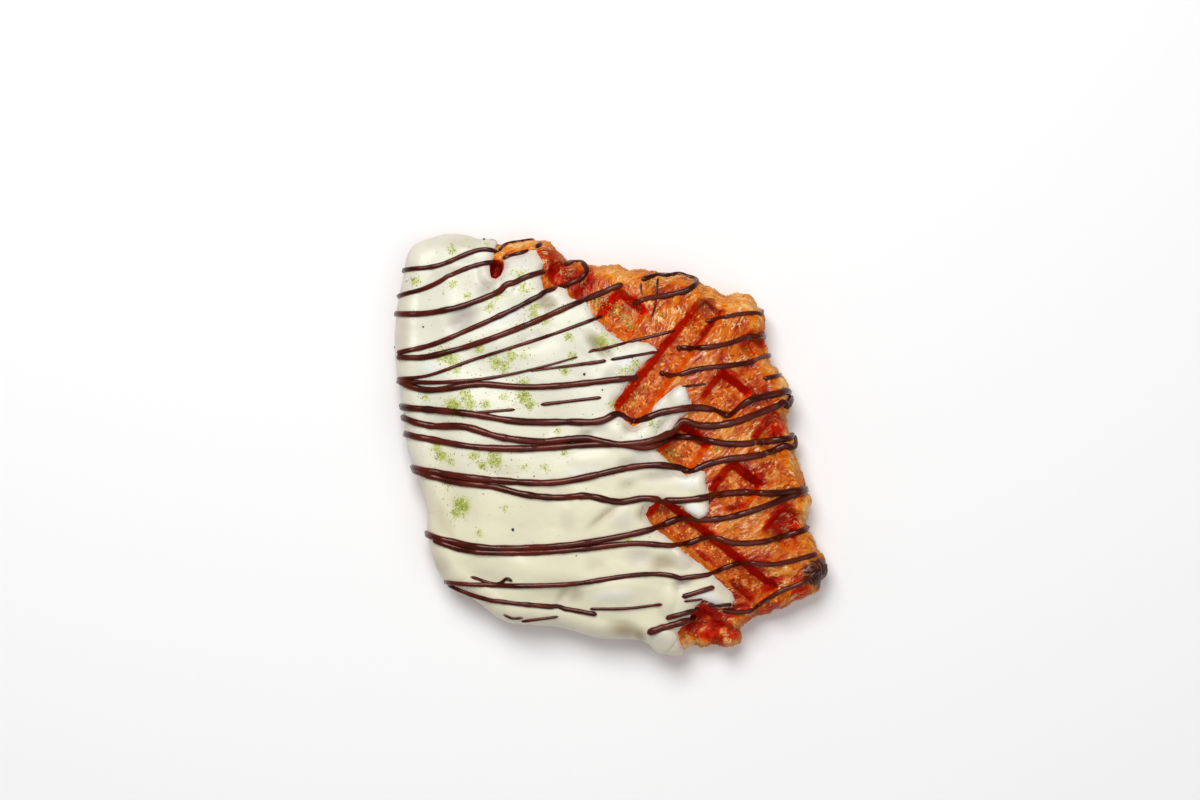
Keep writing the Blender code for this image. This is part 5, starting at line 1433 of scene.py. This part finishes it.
def with_tails(plan):
    """A strand's line, carried a little way down the side at each end that reaches the rim."""
    for _ in range(2):
        plan = plan[::-1]
        depth, inward = rim_measure(plan[:1])[::2]
        if depth[0] < TAIL_FROM and len(plan) > 10:
            way = 0.35 * unit(plan[:1] - plan[5]) - 0.65 * inward
            steps = np.arange(TAIL_STEP, TAIL_LENGTH + 0.3, TAIL_STEP)
            tail = plan[0] + steps[:, None] * way
            plan = np.vstack([tail[rim_measure(tail)[0] > TAIL_LOWEST][::-1], plan])
    return plan


def levelled(place, depth):
    """A strand's places, held up over what it bridges on the upper face."""
    rows = np.arange(len(place))
    near = [np.clip(rows + k, 0, len(place) - 1) for k in range(-3, 4)]
    level = sum(place[k, 2] for k in near) / len(near)
    place[:, 2] = np.where(depth > SIDE_BAND, np.maximum(level, place[:, 2]), place[:, 2])
    return place


def stroke_line(width, points):
    """Middle line of one strand of drizzle in space, with its half thickness at each point."""
    start, stop = width if isinstance(width, tuple) else (width, width)
    half = max(start, stop) / 2
    plan = laid(smooth_path(points, STRAND_STEP), half * STRAND_SINK)
    depth = rim_measure(plan)[0]
    kept = np.nonzero(depth > min(SIDE_SPLIT + 0.15, depth.max() - 0.2))[0]
    plan = with_tails(plan[kept[0]:kept[-1] + 1])
    place, normal = drape(plan)
    place = levelled(place, rim_measure(plan)[0]) + normal * (half * STRAND_SINK + STRAND_LIFT)
    for _ in range(2):
        place[1:-1] = 0.25 * place[:-2] + 0.5 * place[1:-1] + 0.25 * place[2:]
    run = np.concatenate([[0.0], np.cumsum(np.linalg.norm(np.diff(place, axis=0), axis=1))])
    blunt = half * (1.2 if half > 0.48 else 3.0)
    share = np.clip(np.minimum(run, run[-1] - run) / blunt, 0.02, 1.0)
    thick = np.interp(run / run[-1], (0.0, 1.0), (start / 2, stop / 2)) * np.sqrt(1.0 - (1.0 - share) ** 2)
    thick *= 1.0 + STRAND_UNEVEN * (layered(plan[:, 0] / 2.4, plan[:, 1] / 2.4, 101, 2) - 0.5)
    return place, np.maximum(thick, STRAND_THINNEST)


def make_drizzle(material):
    """All strands as one piece, swept along their lines."""
    strands = [stroke_line(width, points) for width, points in STROKES + THREADS]
    edges, first = [], 0
    for place, _ in strands:
        edges.extend((k, k + 1) for k in range(first, first + len(place) - 1))
        first += len(place)
    places, halves = (np.concatenate(part) for part in zip(*strands))
    lines = new_piece("croffle_drizzle", places, edges, values={"thick": halves * MM})
    return grown(lines, tube_tree(), Flatness=STRAND_FLATNESS, Unevenness=RIPPLE_SHARE,
                 Scale_of_unevenness=RIPPLE_SCALE, Sides=STRAND_SIDES, Material=material)


def make_grains(name, plan, half, sizes, seed, material):
    """One joined piece of small lumps that lie at the given places."""
    place, normal = drape(plan)
    values = {"size": half * MM, "tone": np.random.default_rng(seed).random(len(plan))}
    spots = new_piece(name, place + normal * (half * 0.35)[:, None], values=values)
    return grown(spots, grain_tree(), Seed=seed, Smallest=sizes[0], Largest=sizes[1], Material=material)


def crumb_places():
    """Seeded places and half sizes of the green crumbs, in clusters, with a thin dusting between them."""
    rng = np.random.default_rng(CRUMB_PLACE_SEED)
    places, halves = [], []
    for spots, share in ((CRUMB_SPOTS, 1.0), (CRUST_CRUMB_SPOTS, 1.3)):
        for x, y, strength in spots:
            count = int(rng.integers(*CRUMBS_A_SPOT) * strength * share)
            spread = (CRUMB_SPREAD[0] + CRUMB_SPREAD[1] * rng.random()) * math.sqrt(strength)
            spread = spread * np.where(rng.random((count, 1)) < CRUMB_STRAY[0], CRUMB_STRAY[1], 1.0)
            places.append(rng.normal((x, y), spread, (count, 2)))
            halves.append(CRUMB_HALF + CRUMB_HALF_MORE * rng.random(count) ** 2)
    dust = rng.uniform(*DUST_CORNERS, (DUST_COUNT, 2))
    dust = dust[(coat_place(dust) > 0.8) & (rng.random(len(dust)) < 0.8)]
    places.append(dust)
    halves.append(CRUMB_HALF + DUST_HALF_MORE * rng.random(len(dust)))
    places, halves = np.vstack(places), np.concatenate(halves)
    kept = rim_measure(places)[0] > 1.0
    return unroll(places[kept]), halves[kept]


def add_light(name, place, size, power):
    """A square soft light that shines at the pastry."""
    data = bpy.data.lights.new(name, "AREA")
    data.size = size
    data.energy = power
    light = add_object(name, data)
    light.location = place
    light.rotation_euler = (Vector(LIGHT_AIM) - Vector(place)).to_track_quat("-Z", "Y").to_euler()


def make_stage():
    """A pale floor, soft light from the far side and a camera straight above."""
    mesh = bpy.data.meshes.new("studio_floor")
    corners = [(-1, -1, 0), (1, -1, 0), (1, 1, 0), (-1, 1, 0)]
    mesh.from_pydata([[FLOOR_HALF * c for c in corner] for corner in corners], [], [(0, 1, 2, 3)])
    mesh.materials.append(Look("studio_white", Roughness=0.9, Base_Color=FLOOR_WHITE).material)
    floor = add_object("studio_floor", mesh)
    add_light("key", *KEY_LIGHT)
    add_light("fill", *FILL_LIGHT)
    world = bpy.context.scene.world or bpy.data.worlds.new("studio")
    bpy.context.scene.world = world
    world.use_nodes = True
    sky = world.node_tree.nodes["Background"].inputs
    sky["Color"].default_value = (1.0, 1.0, 1.0, 1.0)
    sky["Strength"].default_value = SKY_STRENGTH
    camera = add_object("camera", bpy.data.cameras.new("camera"))
    camera.data.lens = CAMERA_LENS
    camera.data.sensor_width = 36.0
    camera.location = CAMERA_PLACE
    bpy.context.scene.camera = camera
    bpy.context.scene.view_settings.view_transform = "Standard"


def main():
    """Makes every piece, tells the frame what each one is, and sets the stage."""
    crust = make_pastry(crust_material())
    coat = make_coat(icing_material())
    drizzle = make_drizzle(drizzle_material())
    crumbs = make_grains("croffle_crumbs", *crumb_places(), CRUMB_SIZES, CRUMB_SEED, crumb_material())
    dots = np.array(SPECKS)
    black = Look("speck", Roughness=0.6, Base_Color=srgb(38, 40, 34)).material
    specks = make_grains("croffle_specks", unroll(dots[:, :2]), dots[:, 2], SPECK_SIZES, SPECK_SEED, black)
    for piece in (crust, coat, drizzle, crumbs, specks):
        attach(piece, "root")
    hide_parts("pastry")
    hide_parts("icing")
    make_stage()


main()
